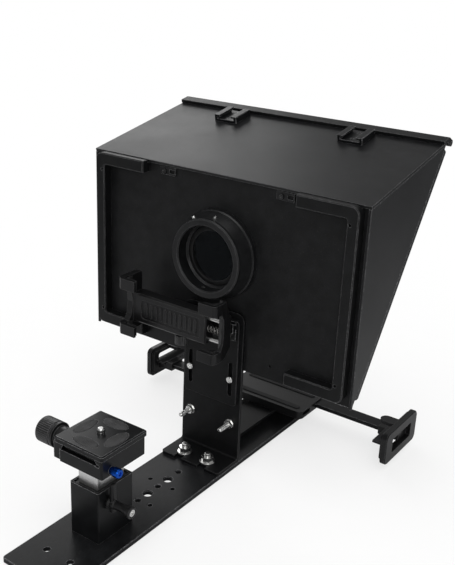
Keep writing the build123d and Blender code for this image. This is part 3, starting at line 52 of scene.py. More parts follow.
# ------------------------------------------------------------------ shader nodes
class Nodes:
    """A cleared node tree, with short ways to add nodes and join them."""

    def __init__(self, tree):
        self.tree = tree
        tree.nodes.clear()

    def feed(self, node, inputs):
        """Link each input to a socket or set its value; colours get an alpha of 1."""
        for key, value in inputs.items():
            socket = node.inputs[key]
            if isinstance(value, bpy.types.NodeSocket):
                self.tree.links.new(value, socket)
            elif socket.type == "RGBA":
                socket.default_value = (*value, 1)
            else:
                socket.default_value = value

    def add(self, kind, inputs=None, **settings):
        node = self.tree.nodes.new("ShaderNode" + kind)
        for key, value in settings.items():
            setattr(node, key, value)
        self.feed(node, inputs or {})
        return node

    def coords(self, stretch=(1, 1, 1)):
        """Object coordinates, scaled per axis."""
        source = self.add("TexCoord").outputs["Object"]
        return self.add("Mapping", {"Scale": stretch, "Vector": source}).outputs["Vector"]

    def noise(self, vector, scale, detail=4.0, roughness=0.55, distortion=0.0):
        return self.add("TexNoise", {
            "Scale": scale, "Detail": detail, "Roughness": roughness,
            "Distortion": distortion, "Vector": vector}).outputs["Fac"]

    def ramp(self, factor, start, end, low=0.0, high=1.0):
        """Grey ramp from low at start to high at end."""
        node = self.add("ValToRGB", {"Fac": factor})
        for stop, position, grey in zip(node.color_ramp.elements, (start, end), (low, high)):
            stop.position = position
            stop.color = (grey, grey, grey, 1)
        return node.outputs["Color"]

    def calc(self, operation, a, b, clamp):
        node = self.add("Math", {0: a, 1: b}, operation=operation, use_clamp=clamp)
        return node.outputs[0]

    def times(self, a, b, clamp=False):
        return self.calc("MULTIPLY", a, b, clamp)

    def plus(self, a, b, clamp=False):
        return self.calc("ADD", a, b, clamp)

    def mix(self, factor, a, b, blend="MIX"):
        node = self.add("Mix", data_type="RGBA", blend_type=blend)
        self.feed(node, {0: factor, 6: a, 7: b})
        return node.outputs[2]

    def mix_shaders(self, factor, a, b):
        return self.add("MixShader", {0: factor, 1: a, 2: b}).outputs[0]

    def edges(self, radius):
        """Mask that is 1 on edges and 0 on open faces, and the rounded normal."""
        rounded = self.add("Bevel", {"Radius": radius}, samples=4).outputs["Normal"]
        normal = self.add("NewGeometry").outputs["Normal"]
        agreement = self.add("VectorMath", {0: rounded, 1: normal}, operation="DOT_PRODUCT")
        mask = self.add("MapRange", {
            "From Min": 0.995, "From Max": 0.90, "Value": agreement.outputs["Value"]})
        return mask.outputs["Result"], rounded

    def bump(self, height, strength, distance, normal):
        return self.add("Bump", {
            "Strength": strength, "Distance": distance,
            "Height": height, "Normal": normal}).outputs["Normal"]


def new_material(name):
    material = bpy.data.materials.new(name)
    material.use_nodes = True
    nodes = Nodes(material.node_tree)
    return material, nodes, nodes.add("OutputMaterial")


def new_surface(name):
    """A material whose output is a principled shader."""
    material, nodes, output = new_material(name)
    shader = nodes.add("BsdfPrincipled")
    nodes.feed(output, {"Surface": shader.outputs["BSDF"]})
    return material, nodes, shader


def scaled(colour, factor):
    return tuple(c * factor for c in colour)


# ------------------------------------------------------------------ kinds of material
def coated(name, base, rough, grain, grain_strength, wear_and_sheen, specular, worn_and_sheen=(0.16, 0.16, 0.165),
           metallic=0.0, vary=0.35, edge=0.0005, stretch=(1, 1, 1), dust=0.0,
           grain_depth=0.03 * MM):
    """Dark painted, anodised or moulded surface.

    grain is the scale of the fine noise; the edge amount and edge colour arguments give the edges
    a pale colour that is partly rubbed wear and partly a painted highlight (sheen); vary the
    swing in brightness, edge the edge radius and dust the strength of the specks.
    """
    material, nodes, shader = new_surface(name)
    stretched = nodes.coords(stretch)
    plain = nodes.coords()
    fine = nodes.noise(stretched, scale=grain, detail=3.0, roughness=0.6)
    cloud = nodes.noise(plain, scale=90.0, detail=5.0, roughness=0.6)
    broad = nodes.noise(plain, scale=14.0, detail=3.0, roughness=0.5)
    edge_mask, rounded = nodes.edges(edge)

    # cloudy base colour with fine speckle
    colour = nodes.mix(nodes.ramp(cloud, start=0.3, end=0.7),
                       scaled(base, 1 - vary), scaled(base, 1 + vary))
    speckle = nodes.ramp(fine, start=0.35, end=0.65, low=0.75, high=1.25)
    colour = nodes.mix(1.0, colour, speckle, blend="MULTIPLY")

    # pale colour along the edges: noise-broken rubbing on a constant floor, so partly real wear
    # and partly a painted highlight (a sheen line on every edge)
    patches = nodes.noise(plain, scale=420.0, detail=4.0, roughness=0.7)
    patches = nodes.ramp(patches, start=0.40, end=0.62, low=0.30)
    rubbed_and_sheen = nodes.times(nodes.times(edge_mask, patches), wear_and_sheen, clamp=True)
    colour = nodes.mix(rubbed_and_sheen, colour, worn_and_sheen)

    if dust:
        specks = nodes.noise(plain, scale=900.0, detail=2.0, roughness=0.4)
        specks = nodes.times(nodes.ramp(specks, start=0.66, end=0.72), dust)
        colour = nodes.mix(specks, colour, (0.22, 0.215, 0.21))

    # roughness swings with both soft noises about its mean, and drops where rubbed
    broad_swing, cloud_swing, rubbed_change = 0.16, 0.10, -0.12
    swing = nodes.plus(nodes.times(broad, broad_swing), nodes.times(cloud, cloud_swing))
    roughness = nodes.plus(swing, rough - (broad_swing + cloud_swing) / 2)
    roughness = nodes.plus(roughness, nodes.times(rubbed_and_sheen, rubbed_change), clamp=True)

    fine_height, cloud_height = 1.0, 0.6
    height = nodes.plus(nodes.times(fine, fine_height), nodes.times(cloud, cloud_height))
    nodes.feed(shader, {
        "Base Color": colour,
        "Roughness": roughness,
        "Metallic": metallic,
        "Specular IOR Level": specular,
        "Normal": nodes.bump(height, strength=grain_strength, distance=grain_depth,
                             normal=rounded)})
    return material


def metal(name, base, rough, streak=(1, 1, 1), streak_scale=600.0, vary=0.18,
          tint=(0.5, 0.48, 0.44), bump=0.25):
    """Bare or plated metal: streaks in colour, gloss and bump, patches of a tint, and a painted
    highlight on the edges.
    """
    material, nodes, shader = new_surface(name)
    stretched = nodes.coords(streak)
    plain = nodes.coords()
    streaks = nodes.noise(stretched, scale=streak_scale, detail=4.0, roughness=0.6)
    cloud = nodes.noise(plain, scale=160.0, detail=5.0, roughness=0.65)
    edge_mask, rounded = nodes.edges(0.3 * MM)

    tint_strength, edge_strength = 0.35, 0.5
    painted_edge_highlight = tuple(min(1, c) for c in scaled(base, 1.25))
    colour = nodes.mix(nodes.ramp(streaks, start=0.3, end=0.7), scaled(base, 1 - vary), base)
    patches = nodes.ramp(cloud, start=0.55, end=0.8)
    colour = nodes.mix(nodes.times(patches, tint_strength), colour, tint)
    # edges mixed toward a brighter colour: a painted edge highlight
    colour = nodes.mix(nodes.times(edge_mask, edge_strength), colour, painted_edge_highlight)

    streak_swing, cloud_swing = 0.16, 0.14
    from_streaks = nodes.times(streaks, streak_swing)
    from_cloud = nodes.plus(nodes.times(cloud, cloud_swing), rough - 0.14)
    nodes.feed(shader, {
        "Base Color": colour,
        "Metallic": 1.0,
        "Roughness": nodes.plus(from_streaks, from_cloud, clamp=True),
        "Normal": nodes.bump(streaks, strength=bump, distance=0.02 * MM, normal=rounded)})
    return material


def rubber(name, base, rough=0.72):
    """Matt rubber with a paler bloom and slightly greyed edges."""
    material, nodes, shader = new_surface(name)
    plain = nodes.coords()
    fine = nodes.noise(plain, scale=2600.0, detail=3.0, roughness=0.65)
    bloom = nodes.noise(plain, scale=120.0, detail=5.0, roughness=0.6)
    edge_mask, rounded = nodes.edges(0.4 * MM)

    bloom_gain, edge_strength, bloom_swing = 2.3, 0.3, 0.2
    colour = nodes.mix(nodes.ramp(bloom, start=0.35, end=0.75), base, scaled(base, bloom_gain))
    colour = nodes.mix(nodes.times(edge_mask, edge_strength), colour, (0.06, 0.06, 0.062))
    nodes.feed(shader, {
        "Base Color": colour,
        "Roughness": nodes.plus(nodes.times(bloom, bloom_swing), rough - bloom_swing / 2,
                                clamp=True),
        "Specular IOR Level": 0.35,
        "Normal": nodes.bump(fine, strength=0.4, distance=0.03 * MM, normal=rounded)})
    return material


def splitter_glass(name):
    """Half-mirror glass: dark transparency under a smeared reflection, with dust specks."""
    material, nodes, output = new_material(name)
    plain = nodes.coords()
    smear = nodes.noise(plain, scale=18.0, detail=5.0, roughness=0.6, distortion=0.6)
    specks = nodes.noise(plain, scale=1100.0, detail=2.0, roughness=0.4)
    # the transparency is darker than the half-mirror alone would make it: painted shade that
    # keeps the view through the lens opening dark
    through = nodes.add("BsdfTransparent", {"Color": (0.10, 0.105, 0.11)})
    gloss = nodes.ramp(smear, start=0.35, end=0.8, low=0.015, high=0.09)
    mirror = nodes.add("BsdfGlossy", {"Color": (0.92, 0.94, 0.97),
                                      "Roughness": nodes.times(gloss, 1.0)})
    fresnel = nodes.add("Fresnel", {"IOR": 1.5}).outputs[0]
    fresnel_gain, least_mirror, dust_strength = 0.8, 0.26, 0.18
    reflection = nodes.plus(nodes.times(fresnel, fresnel_gain), least_mirror, clamp=True)
    pane = nodes.mix_shaders(reflection, through.outputs[0], mirror.outputs[0])
    dust = nodes.add("BsdfDiffuse", {"Color": (0.5, 0.5, 0.5)})
    dusty = nodes.times(nodes.ramp(specks, start=0.68, end=0.75), dust_strength)
    nodes.feed(output, {"Surface": nodes.mix_shaders(dusty, pane, dust.outputs[0])})
    return material


# ------------------------------------------------------------------ materials on the CAD pieces
def paint(names, material):
    """Give the named pieces one material, and return it."""
    for name in names.split():
        materials = PIECES[name].data.materials
        materials.clear()
        materials.append(material)
    return material


# the pale edge colour given to each coated material below is partly rubbed wear and partly a
# painted edge highlight
paint("hood_top hood_side_left hood_side_right", coated(
    "powder_coat_hood", base=(0.0076, 0.0079, 0.0085), rough=0.38, grain=1100,
    grain_strength=0.55, wear_and_sheen=0.60, worn_and_sheen=(0.24, 0.24, 0.245), dust=0.05, specular=0.27,
    edge=0.0009, grain_depth=0.05 * MM))
paint("hood_back", coated(
    "powder_coat_back_panel", base=(0.0068, 0.0070, 0.0075), rough=0.46, grain=1500,
    grain_strength=0.38, wear_and_sheen=0.35, dust=0.04, specular=0.24))
paint("panel_frame_left panel_frame_right hood_front_trim", coated(
    "powder_coat_frames", base=(0.0048, 0.0050, 0.0053), rough=0.42, grain=1400,
    grain_strength=0.42, wear_and_sheen=0.7, worn_and_sheen=(0.22, 0.22, 0.225), dust=0.03, specular=0.26,
    edge=0.0008))
paint("upright_bracket tablet_arm phone_arm", coated(
    "powder_coat_brackets", base=(0.0048, 0.0050, 0.0054), rough=0.44, grain=1500,
    grain_strength=0.40, wear_and_sheen=0.5, worn_and_sheen=(0.22, 0.22, 0.225), dust=0.03, specular=0.17))
paint("base_rail", coated(
    "anodised_rail", base=(0.0088, 0.0091, 0.0099), rough=0.36, grain=1800,
    grain_strength=0.28, wear_and_sheen=0.8, worn_and_sheen=(0.36, 0.36, 0.37), edge=0.0008,
    stretch=(1, 0.12, 1), dust=0.04, specular=0.16))
paint("riser_tube cold_shoes qr_base qr_jaw qr_plate glass_frame clamp_rail "
      "holder_slide_left holder_slide_right", coated(
    "anodised_machined", base=(0.0054, 0.0057, 0.0062), rough=0.32, grain=1800,
    grain_strength=0.28, wear_and_sheen=0.95, worn_and_sheen=(0.40, 0.40, 0.41), dust=0.02, specular=0.22,
    edge=0.0006))
paint("lens_ring", coated(
    "anodised_ring", base=(0.0072, 0.0074, 0.0079), rough=0.36, grain=2400,
    grain_strength=0.20, wear_and_sheen=0.5, stretch=(1, 6, 1), worn_and_sheen=(0.26, 0.26, 0.27),
    specular=0.34))
paint("riser_bushing lock_lever clamp_body clamp_jaw holder_body holder_clip_left "
      "holder_clip_right", coated(
    "moulded_nylon", base=(0.0056, 0.0056, 0.0060), rough=0.36, grain=1100,
    grain_strength=0.42, wear_and_sheen=0.55, worn_and_sheen=(0.16, 0.16, 0.162), vary=0.25, edge=0.0006,
    specular=0.36))
paint("qr_knob clamp_lock_screw holder_screw", coated(
    "knob_plastic", base=(0.0065, 0.0065, 0.0069), rough=0.34, grain=1400,
    grain_strength=0.32, wear_and_sheen=0.8, worn_and_sheen=(0.22, 0.22, 0.223), specular=0.42, edge=0.0006))
paint("box_screws hood_latches", coated(
    "black_oxide_screws", base=(0.035, 0.035, 0.036), rough=0.26, grain=2400,
    grain_strength=0.2, metallic=0.8, wear_and_sheen=1.0, worn_and_sheen=(0.62, 0.62, 0.62), edge=0.00035,
    specular=0.5))
ZINC = paint(
    "rail_bolts bracket_washers bracket_nuts lever_screw ring_set_screws arm_screws "
    "rail_screws tablet_arm_bolts tablet_arm_nuts", metal(
        "zinc_plate", base=(0.88, 0.88, 0.865), rough=0.20, streak_scale=380.0, vary=0.10,
        tint=(0.60, 0.59, 0.56), bump=0.12))
STEEL = paint(
    "camera_screw clamp_rods qr_guide_rods qr_knob_shaft qr_mount_screw hinge_rod", metal(
        "turned_steel", base=(0.76, 0.76, 0.75), rough=0.20, streak=(1, 1, 8),
        streak_scale=500, vary=0.12, tint=(0.55, 0.54, 0.52), bump=0.15))
SPRING_WIRE = paint("pin_spring clamp_spring holder_spring", metal(
    "spring_wire", base=(0.52, 0.51, 0.49), rough=0.3))
paint("riser_post", metal(
    "drawn_aluminium", base=(0.93, 0.93, 0.92), rough=0.40, streak=(14, 14, 0.35),
    streak_scale=160, vary=0.12, tint=(0.78, 0.78, 0.77), bump=0.28))
paint("safety_pin", metal(
    "blue_anodised", base=(0.012, 0.11, 0.62), rough=0.25, streak=(8, 1, 1),
    streak_scale=700, vary=0.25, tint=(0.01, 0.06, 0.4), bump=0.15))
RUBBER = paint(
    "lens_gasket glass_gasket clamp_pads_fixed clamp_pads_moving holder_pads",
    rubber("black_rubber", base=(0.0080, 0.0080, 0.0084)))
PAD_RUBBER = paint("qr_plate_pads", rubber(
    "ribbed_pad_rubber", base=(0.024, 0.024, 0.0245), rough=0.55))
paint("beam_splitter_glass", splitter_glass("beam_splitter_coated_glass"))

for name in PIECES:
    assert PIECES[name].data.materials, name


# ------------------------------------------------------------------ mesh helpers
def add_part(name, mesh, material, body, replaces=None, smooth=True,
             subdivided=False):
    verts, faces = mesh
    data = bpy.data.meshes.new(name)
    data.from_pydata([tuple(v) for v in verts], [], [tuple(f) for f in faces])
    data.validate()
    bm = bmesh.new()
    bm.from_mesh(data)
    bmesh.ops.recalc_face_normals(bm, faces=bm.faces)
    bm.to_mesh(data)
    bm.free()
    for polygon in data.polygons:
        polygon.use_smooth = smooth
    part = bpy.data.objects.new(name, data)
    bpy.context.scene.collection.objects.link(part)
    data.materials.append(material)
    if subdivided:
        modifier = part.modifiers.new("subsurf", "SUBSURF")
        modifier.levels = 1
        modifier.render_levels = 1
    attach(part, body)
    if replaces:
        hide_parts(replaces)


def loft(rings, cap=True, loop=False):
    """Skin over closed rings of equal length; loop joins the last ring to the first."""
    n, count = len(rings[0]), len(rings)
    verts = [point for ring in rings for point in ring]
    faces = []
    for i in range(count if loop else count - 1):
        a, b = i * n, ((i + 1) % count) * n
        for j in range(n):
            k = (j + 1) % n
            faces.append((a + j, a + k, b + k, b + j))
    if cap and not loop:
        faces.append(tuple(range(n))[::-1])
        faces.append(tuple((count - 1) * n + j for j in range(n)))
    return verts, faces


def join(meshes):
    """One mesh from several."""
    verts, faces = [], []
    for more_verts, more_faces in meshes:
        start = len(verts)
        verts += more_verts
        faces += [tuple(i + start for i in face) for face in more_faces]
    return verts, faces


def across(direction):
    """A unit vector at right angles to a unit direction."""
    guide = Vector((0, 0, 1)) if abs(direction.z) < 0.9 else Vector((1, 0, 0))
    return (guide - guide.dot(direction) * direction).normalized()


def wire_along(points, radius, segments=8):
    """Round wire through points, its section carried along without twisting."""
    points = [Vector(p) for p in points]
    last = len(points) - 1
    rings = []
    side = None
    for i, point in enumerate(points):
        along = (points[min(i + 1, last)] - points[max(i - 1, 0)]).normalized()
        if side is None:
            side = across(along)
        else:
            side = (side - side.dot(along) * along).normalized()
        other = along.cross(side)
        angles = [math.tau * j / segments for j in range(segments)]
        rings.append([point + radius * (math.cos(a) * side + math.sin(a) * other)
                      for a in angles])
    return loft(rings)


def box_centre(piece):
    low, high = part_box(piece)
    return (Vector(low) + Vector(high)) / 2


# ------------------------------------------------------------------ oval camera plate pads
PLATE_CENTRE = box_centre("qr_plate_pads")
PAD_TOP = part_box("qr_plate_pads")[1].z
PAD_HEIGHT = 0.62 * MM
PAD_SINK = 1.15 * MM        # how far the pad goes down below its visible base
PAD_RIB_PITCH = 1.5 * MM

# centre x, y from the plate's centre; half sizes in x, y (mm); whether ribs repeat along x
OVAL_PADS = [
    (0, 16.8, 12, 5.5, True),
    (0, -16.8, 12, 5.5, True),
    (16.2, 0, 5.5, 12.2, False),
    (-16.2, 0, 5.5, 12.2, False),
]


def oval_pad(centre_x, centre_y, half_x, half_y, ribs_along_x):
    segments = 112
    base = PAD_TOP - PAD_HEIGHT
    circle = [(math.cos(math.tau * j / segments), math.sin(math.tau * j / segments))
              for j in range(segments)]
    # straight side wall, then the top: close rings over the rolled edge, wider ones inward
    rings = [[(centre_x + half_x * c, centre_y + half_y * s, base + z) for c, s in circle]
             for z in (-PAD_SINK, -0.02 * MM)]
    edge_step, edge_end, inner_steps = 0.02, 0.92, 20
    sizes = [1.0 - edge_step * i for i in range(1, 5)]
    sizes += [edge_end - edge_end * i / inner_steps for i in range(1, inner_steps)]
    for size in sizes:
        roll = min(1.0, (1 - size) / 0.09) ** 0.6
        ring = []
        for c, s in circle:
            x = half_x * size * c
            y = half_y * size * s
            along = x if ribs_along_x else y
            wave = 0.5 + 0.5 * math.cos(math.tau * along / PAD_RIB_PITCH)
            rib = min(1.0, max(0.0, (wave - 0.22) / 0.5))    # flat crests and valleys
            height = PAD_HEIGHT * roll * (0.42 + 0.58 * rib)
            ring.append((centre_x + x, centre_y + y, base + height))
        rings.append(ring)
    verts, faces = loft(rings, cap=False)

    # fans that close the top and the bottom
    last, top = (len(rings) - 1) * segments, len(verts)
    bottom = top + 1
    verts.append((centre_x, centre_y, base + PAD_HEIGHT))
    verts.append((centre_x, centre_y, base - PAD_SINK))
    faces += [(last + j, last + (j + 1) % segments, top) for j in range(segments)]
    faces += [((j + 1) % segments, j, bottom) for j in range(segments)]
    return verts, faces


add_part("camera_plate_ribbed_pads",
         join(oval_pad(PLATE_CENTRE.x + x * MM, PLATE_CENTRE.y + y * MM,
                       half_x * MM, half_y * MM, ribs_along_x)
              for x, y, half_x, half_y, ribs_along_x in OVAL_PADS),
         PAD_RUBBER, "camera_plate", replaces="qr_plate_pads")


# ------------------------------------------------------------------ phone clamp shoes
SHOE_LENGTH = 9.4 * MM
SHOE_RIB_PITCH = 1.9 * MM
SHOE_ROWS = 48
MIRROR_SUM = -46            # mm; the fixed jaw's x is this minus the moving jaw's x


def shoe_section(depth):
    """Hook outline (x, y) in mm for the moving jaw; depth of the groove moves its inner faces."""
    face_x = 24.6 + 0.55 * depth
    face_y = -34.6 - 0.45 * depth
    return [
        (26.5, -26.5), (26.5, -36.55), (20.0, -36.55), (14.6, -36.5), (13.5, -36.1),
        (13.3, -35.4), (14.0, face_y), (15.2, face_y), (22.0, face_y),
        (23.6, face_y + 0.15), (face_x - 0.25, face_y + 0.75), (face_x, face_y + 2.0),
        (face_x, -30.5), (face_x, -27.6), (face_x + 0.3, -26.8), (25.4, -26.45),
    ]


def shoe(bottom, mirrored):
    top = bottom + SHOE_LENGTH
    rings = []
    for i in range(SHOE_ROWS + 1):
        t = i / SHOE_ROWS
        z = bottom + (top - bottom) * t
        end = min(1.0, min(t, 1 - t) / 0.045)
        end = math.sqrt(max(0.0, 1 - (1 - end) ** 2))    # rounds both ends
        rib = 0.5 - 0.5 * math.cos(math.tau * (z - bottom) / SHOE_RIB_PITCH)
        section = shoe_section(depth=0.75 * rib ** 1.6 + 0.25 * (1 - end))
        if mirrored:
            section = [(MIRROR_SUM - x, y) for x, y in section]
        rings.append([(x * MM, y * MM, z) for x, y in section])
    return loft(rings)


def clamp_shoes(name, piece, body, mirrored):
    """A shoe at the lower and at the upper end of the piece's box."""
    low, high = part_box(piece)
    mesh = join(shoe(bottom, mirrored) for bottom in (low.z, high.z - SHOE_LENGTH))
    add_part(name, mesh, RUBBER, body, replaces=piece, subdivided=True)


clamp_shoes("phone_jaw_rubber_moving", "clamp_pads_moving", "phone_jaw", mirrored=False)
clamp_shoes("phone_jaw_rubber_fixed", "clamp_pads_fixed", "phone_clamp", mirrored=True)


# ------------------------------------------------------------------ tablet holder strips
STRIP_RADIUS = 3.5 * MM     # of the round ends, so half the width
STRIP_STRAIGHT = 40 * MM - STRIP_RADIUS    # half the straight length
STRIP_RIB_PITCH = 2.5 * MM

# how far the outline has drawn in, and the height as a share of the full height
STRIP_CROWN = [(0, 0), (0, 0.35), (0.10, 0.62), (0.28, 0.84), (0.55, 0.96), (0.9, 1.0)]


def stadium():
    """Outline with round ends: an arc, then a straight side, twice."""
    arc_steps, side_steps = 20, 30
    points = []
    for s in (1, -1):
        for j in range(arc_steps + 1):
            a = -math.pi / 2 + math.pi * j / arc_steps
            points.append((s * STRIP_STRAIGHT + s * STRIP_RADIUS * math.cos(a),
                           s * STRIP_RADIUS * math.sin(a)))
        for j in range(1, side_steps):
            points.append((s * STRIP_STRAIGHT * (1 - 2 * j / side_steps), s * STRIP_RADIUS))
    return points


def rubber_strip(centre_y, base, height):
    rings = []
    for inset, level in STRIP_CROWN:
        shrink = 1 - inset * 0.62
        ring = []
        for x, y in stadium():
            spine_x = max(-STRIP_STRAIGHT, min(STRIP_STRAIGHT, x))
            groove = 0.0
            if inset > 0.2:
                groove = 0.16 * (1 - math.cos(math.tau * x / STRIP_RIB_PITCH)) / 2
            ring.append((spine_x + (x - spine_x) * shrink, centre_y + y * shrink,
                         base + height * (level - groove * level)))
        rings.append(ring)
    return loft(rings)


low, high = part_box("holder_pads")
add_part("tablet_holder_rubber_strips",
         join(rubber_strip(centre_y, base=low.z, height=high.z - low.z)
              for centre_y in (low.y + STRIP_RADIUS, high.y - STRIP_RADIUS)),
         RUBBER, "tablet_holder", replaces="holder_pads")

# ------------------------------------------------------------------ lip seal in the lens ring
# closed section: radius from the ring's axis, y (mm)
LIP_SECTION = [
    (26.85, -3.6), (26.9, 1.9), (26.2, 2.0), (25.5, 1.9), (25.45, 0.6), (25.7, 0.1),
    (25.45, -0.4), (25.7, -0.9), (25.4, -1.4), (25.5, -2.4), (24.4, -3.2), (23.2, -3.95),
    (22.4, -4.5), (22.2, -5.0), (22.2, -5.6), (22.7, -5.75), (23.8, -5.2), (25.4, -4.4),
    (26.3, -3.9),
]


def lip_seal():
    centre = box_centre("lens_gasket")
    segments = 120
    rings = []
    for j in range(segments):
        a = math.tau * j / segments
        rings.append([(centre.x + r * MM * math.cos(a), y * MM, centre.z + r * MM * math.sin(a))
                      for r, y in LIP_SECTION])
    return loft(rings, loop=True)


add_part("lens_ring_lip_seal", lip_seal(), RUBBER, "base", replaces="lens_gasket",
         subdivided=True)

# ------------------------------------------------------------------ bead round the glass
GLASS_THICKNESS = 2.2 * MM
BEAD_WIDTH = 5.4 * MM
BEAD_CORNER = 4.0 * MM      # outer corner radius

# inward from the outer edge as a share of the width, height as a share of the full height
BEAD_SECTION = [
    (0.03, 0.0), (0.02, 0.35), (0.05, 0.72), (0.16, 0.93), (0.32, 1.0), (0.50, 0.97),
    (0.66, 0.80), (0.84, 0.48), (0.96, 0.22), (1.0, 0.10), (1.0, 0.0),
]


def glass_slope():
    """Unit vector up the pane, along the long side of its cross section."""
    glass = [v.co.copy() for v in PIECES["beam_splitter_glass"].data.vertices]
    diagonal = max(glass, key=lambda p: p.z) - min(glass, key=lambda p: p.z)
    diagonal.x = 0
    long_side = (diagonal.length ** 2 - GLASS_THICKNESS ** 2) ** 0.5
    corners = sorted({(round(p.y, 7), round(p.z, 7)) for p in glass if p.x > 0},
                     key=lambda corner: corner[1])
    lowest = Vector((0, *corners[0]))
    sides = [Vector((0, y - lowest.y, z - lowest.z)) for y, z in corners[1:]]
    sides = [side for side in sides if side.length > 0.05]
    return min(sides, key=lambda side: abs(side.length - long_side)).normalized()


def glazing_bead():
    slope = glass_slope()
    outward = Vector((0, slope.z, -slope.y))    # off the glass, toward the front
    gasket = [v.co.copy() for v in PIECES["glass_gasket"].data.vertices]
    along = [p.dot(slope) for p in gasket]
    off = [p.dot(outward) for p in gasket]
    half_width = max(p.x for p in gasket)
    base, height = min(off), max(off) - min(off)
    corner_steps = 8
    rings = []
    # corners in turn: side in x, side along the slope, first angle
    for side_x, side_slope, first in ((1, 1, 0), (-1, 1, 90), (-1, -1, 180), (1, -1, 270)):
        arc_x = side_x * (half_width - BEAD_CORNER)
        arc_slope = max(along) - BEAD_CORNER if side_slope > 0 else min(along) + BEAD_CORNER
        for j in range(corner_steps + 1):
            a = math.radians(first + 90 * j / corner_steps)
            ring = []
            for share, level in BEAD_SECTION:
                inward = share * BEAD_WIDTH
                radius = max(BEAD_CORNER - inward, 0.0)
                # past the arc's centre the corner turns square
                past = max(inward - BEAD_CORNER, 0.0)
                x = arc_x + radius * math.cos(a) - side_x * past
                up = arc_slope + radius * math.sin(a) - side_slope * past
                ring.append(Vector((x, 0, 0)) + slope * up
                            + outward * (base + level * height))
            rings.append(ring)
    return loft(rings, loop=True)


add_part("glazing_bead", glazing_bead(), RUBBER, "glass_assembly", replaces="glass_gasket")

# ------------------------------------------------------------------ springs, lying along x
# name, piece replaced, body, wire radius, coil radius (mm), open turns
SPRINGS = [
    ("safety_pin_coil", "pin_spring", "riser", 0.35, 2.5, 5),
    ("phone_jaw_coil", "clamp_spring", "phone_clamp", 0.5, 2.9, 22),
    ("tablet_grip_coil", "holder_spring", "tablet_holder", 0.3, 1.45, 19),
]


def spring(piece, wire, radius, turns):
    """Coil filling the piece's length, with closed turns at both ends."""
    low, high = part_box(piece)
    centre = box_centre(piece)
    closed = 1.5                            # closed turns at each end
    closed_length = closed * wire * 2.05
    start, end = low.x + wire, high.x - wire
    total = turns + 2 * closed
    steps = int(total * 18)
    points = []
    for i in range(steps + 1):
        t = i / steps * total
        if t < closed:
            x = start + closed_length * t / closed
        elif t > total - closed:
            x = end - closed_length * (total - t) / closed
        else:
            open_length = end - start - 2 * closed_length
            x = start + closed_length + open_length * (t - closed) / turns
        a = math.tau * t
        points.append((x, centre.y + radius * math.cos(a), centre.z + radius * math.sin(a)))
    return wire_along(points, wire)


for name, piece, body, wire, radius, turns in SPRINGS:
    add_part(name, spring(piece, wire * MM, radius * MM, turns), SPRING_WIRE, body,
             replaces=piece)


# ------------------------------------------------------------------ threads on the screw ends
def thread(start, axis, radius, pitch, length):
    """Helical ridge laid on a plain shank, fading in and out at its ends."""
    start, axis = Vector(start), Vector(axis)
    side = across(axis)
    other = axis.cross(side)
    root, crest = radius - 0.10 * MM, 0.13 * MM
    turns = length / pitch
    steps = int(turns * 28)
    rings = []
    for i in range(steps + 1):
        t = i / steps
        a = math.tau * turns * t
        fade = min(1.0, min(t, 1 - t) * turns / 0.6)
        out = side * math.cos(a) + other * math.sin(a)
        centre = start + axis * (length * t)
        tip = radius + crest * fade
        # distance from the axis, and place along it in pitches
        section = ((root, -0.42), (tip, -0.10), (tip, 0.10), (root, 0.42))
        rings.append([centre + out * r + axis * (along * pitch) for r, along in section])
    return loft(rings)


BOLT_X, BOLT_Z = 22 * MM, 41 * MM
bolt_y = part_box("tablet_arm_bolts")[0].y
nut_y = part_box("tablet_arm_nuts")[0].y
for side, side_name in ((-1, "left"), (1, "right")):
    add_part("bolt_thread_" + side_name,
             thread(start=(side * BOLT_X, bolt_y + 0.9 * MM, BOLT_Z), axis=(0, 1, 0),
                    radius=2.0 * MM, pitch=0.7 * MM, length=(nut_y - bolt_y) - 1.4 * MM),
             ZINC, "base", smooth=False)

screw_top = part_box("camera_screw")[1].z
add_part("camera_screw_thread",
         thread(start=(PLATE_CENTRE.x, PLATE_CENTRE.y, screw_top - 4.25 * MM),
                axis=(0, 0, 1), radius=3.1 * MM, pitch=1.27 * MM, length=2.7 * MM),
         STEEL, "camera_stud", smooth=False)


# ------------------------------------------------------------------ floor
def floor_material():
    """Pale floor, dimmer in reflections, that turns to plain white away from the product."""
    material, nodes, output = new_material("pale_floor")
    pale = nodes.add("BsdfPrincipled", {"Roughness": 0.9, "Specular IOR Level": 0.1})
    ray = nodes.add("LightPath")

    def by_distance(operation, near, far, at_near=0.0, at_far=1.0):
        """Smooth change with the distance from the origin."""
        length = nodes.add("VectorMath", operation=operation)
        nodes.feed(length, {0: nodes.add("NewGeometry").outputs["Position"]})
        return nodes.add("MapRange", {
            "From Min": near, "From Max": far, "To Min": at_near, "To Max": at_far,
            "Value": length.outputs["Value"]},
            interpolation_type="SMOOTHSTEP").outputs["Result"]

    mottle = nodes.noise(nodes.coords(), scale=30, detail=3)
    nodes.feed(pale, {
        "Base Color": nodes.mix(mottle, (0.84, 0.84, 0.835), (0.88, 0.88, 0.875))})
    dim = nodes.add("BsdfDiffuse")
    dimming = by_distance("LENGTH", near=0.15, far=1.1)
    nodes.feed(dim, {"Color": nodes.mix(dimming, (0.52, 0.52, 0.525), (0.20, 0.20, 0.205))})
    lit = nodes.mix_shaders(ray.outputs["Is Glossy Ray"], pale.outputs[0], dim.outputs[0])
    glow = nodes.add("Emission", {"Color": (1, 1, 1), "Strength": 1.0})
    white = by_distance("DISTANCE", near=0.20, far=0.75, at_near=0.70)
    white = nodes.times(white, ray.outputs["Is Camera Ray"])
    nodes.feed(output, {"Surface": nodes.mix_shaders(white, lit, glow.outputs[0])})
    return material


def add_floor():
    data = bpy.data.meshes.new("floor")
    bm = bmesh.new()
    bmesh.ops.create_grid(bm, x_segments=8, y_segments=8, size=6.0)
    bm.to_mesh(data)
    bm.free()
    floor = bpy.data.objects.new("floor", data)
    bpy.context.scene.collection.objects.link(floor)
    floor.location = (0, 0, -0.4 * MM)
    data.materials.append(floor_material())


add_floor()


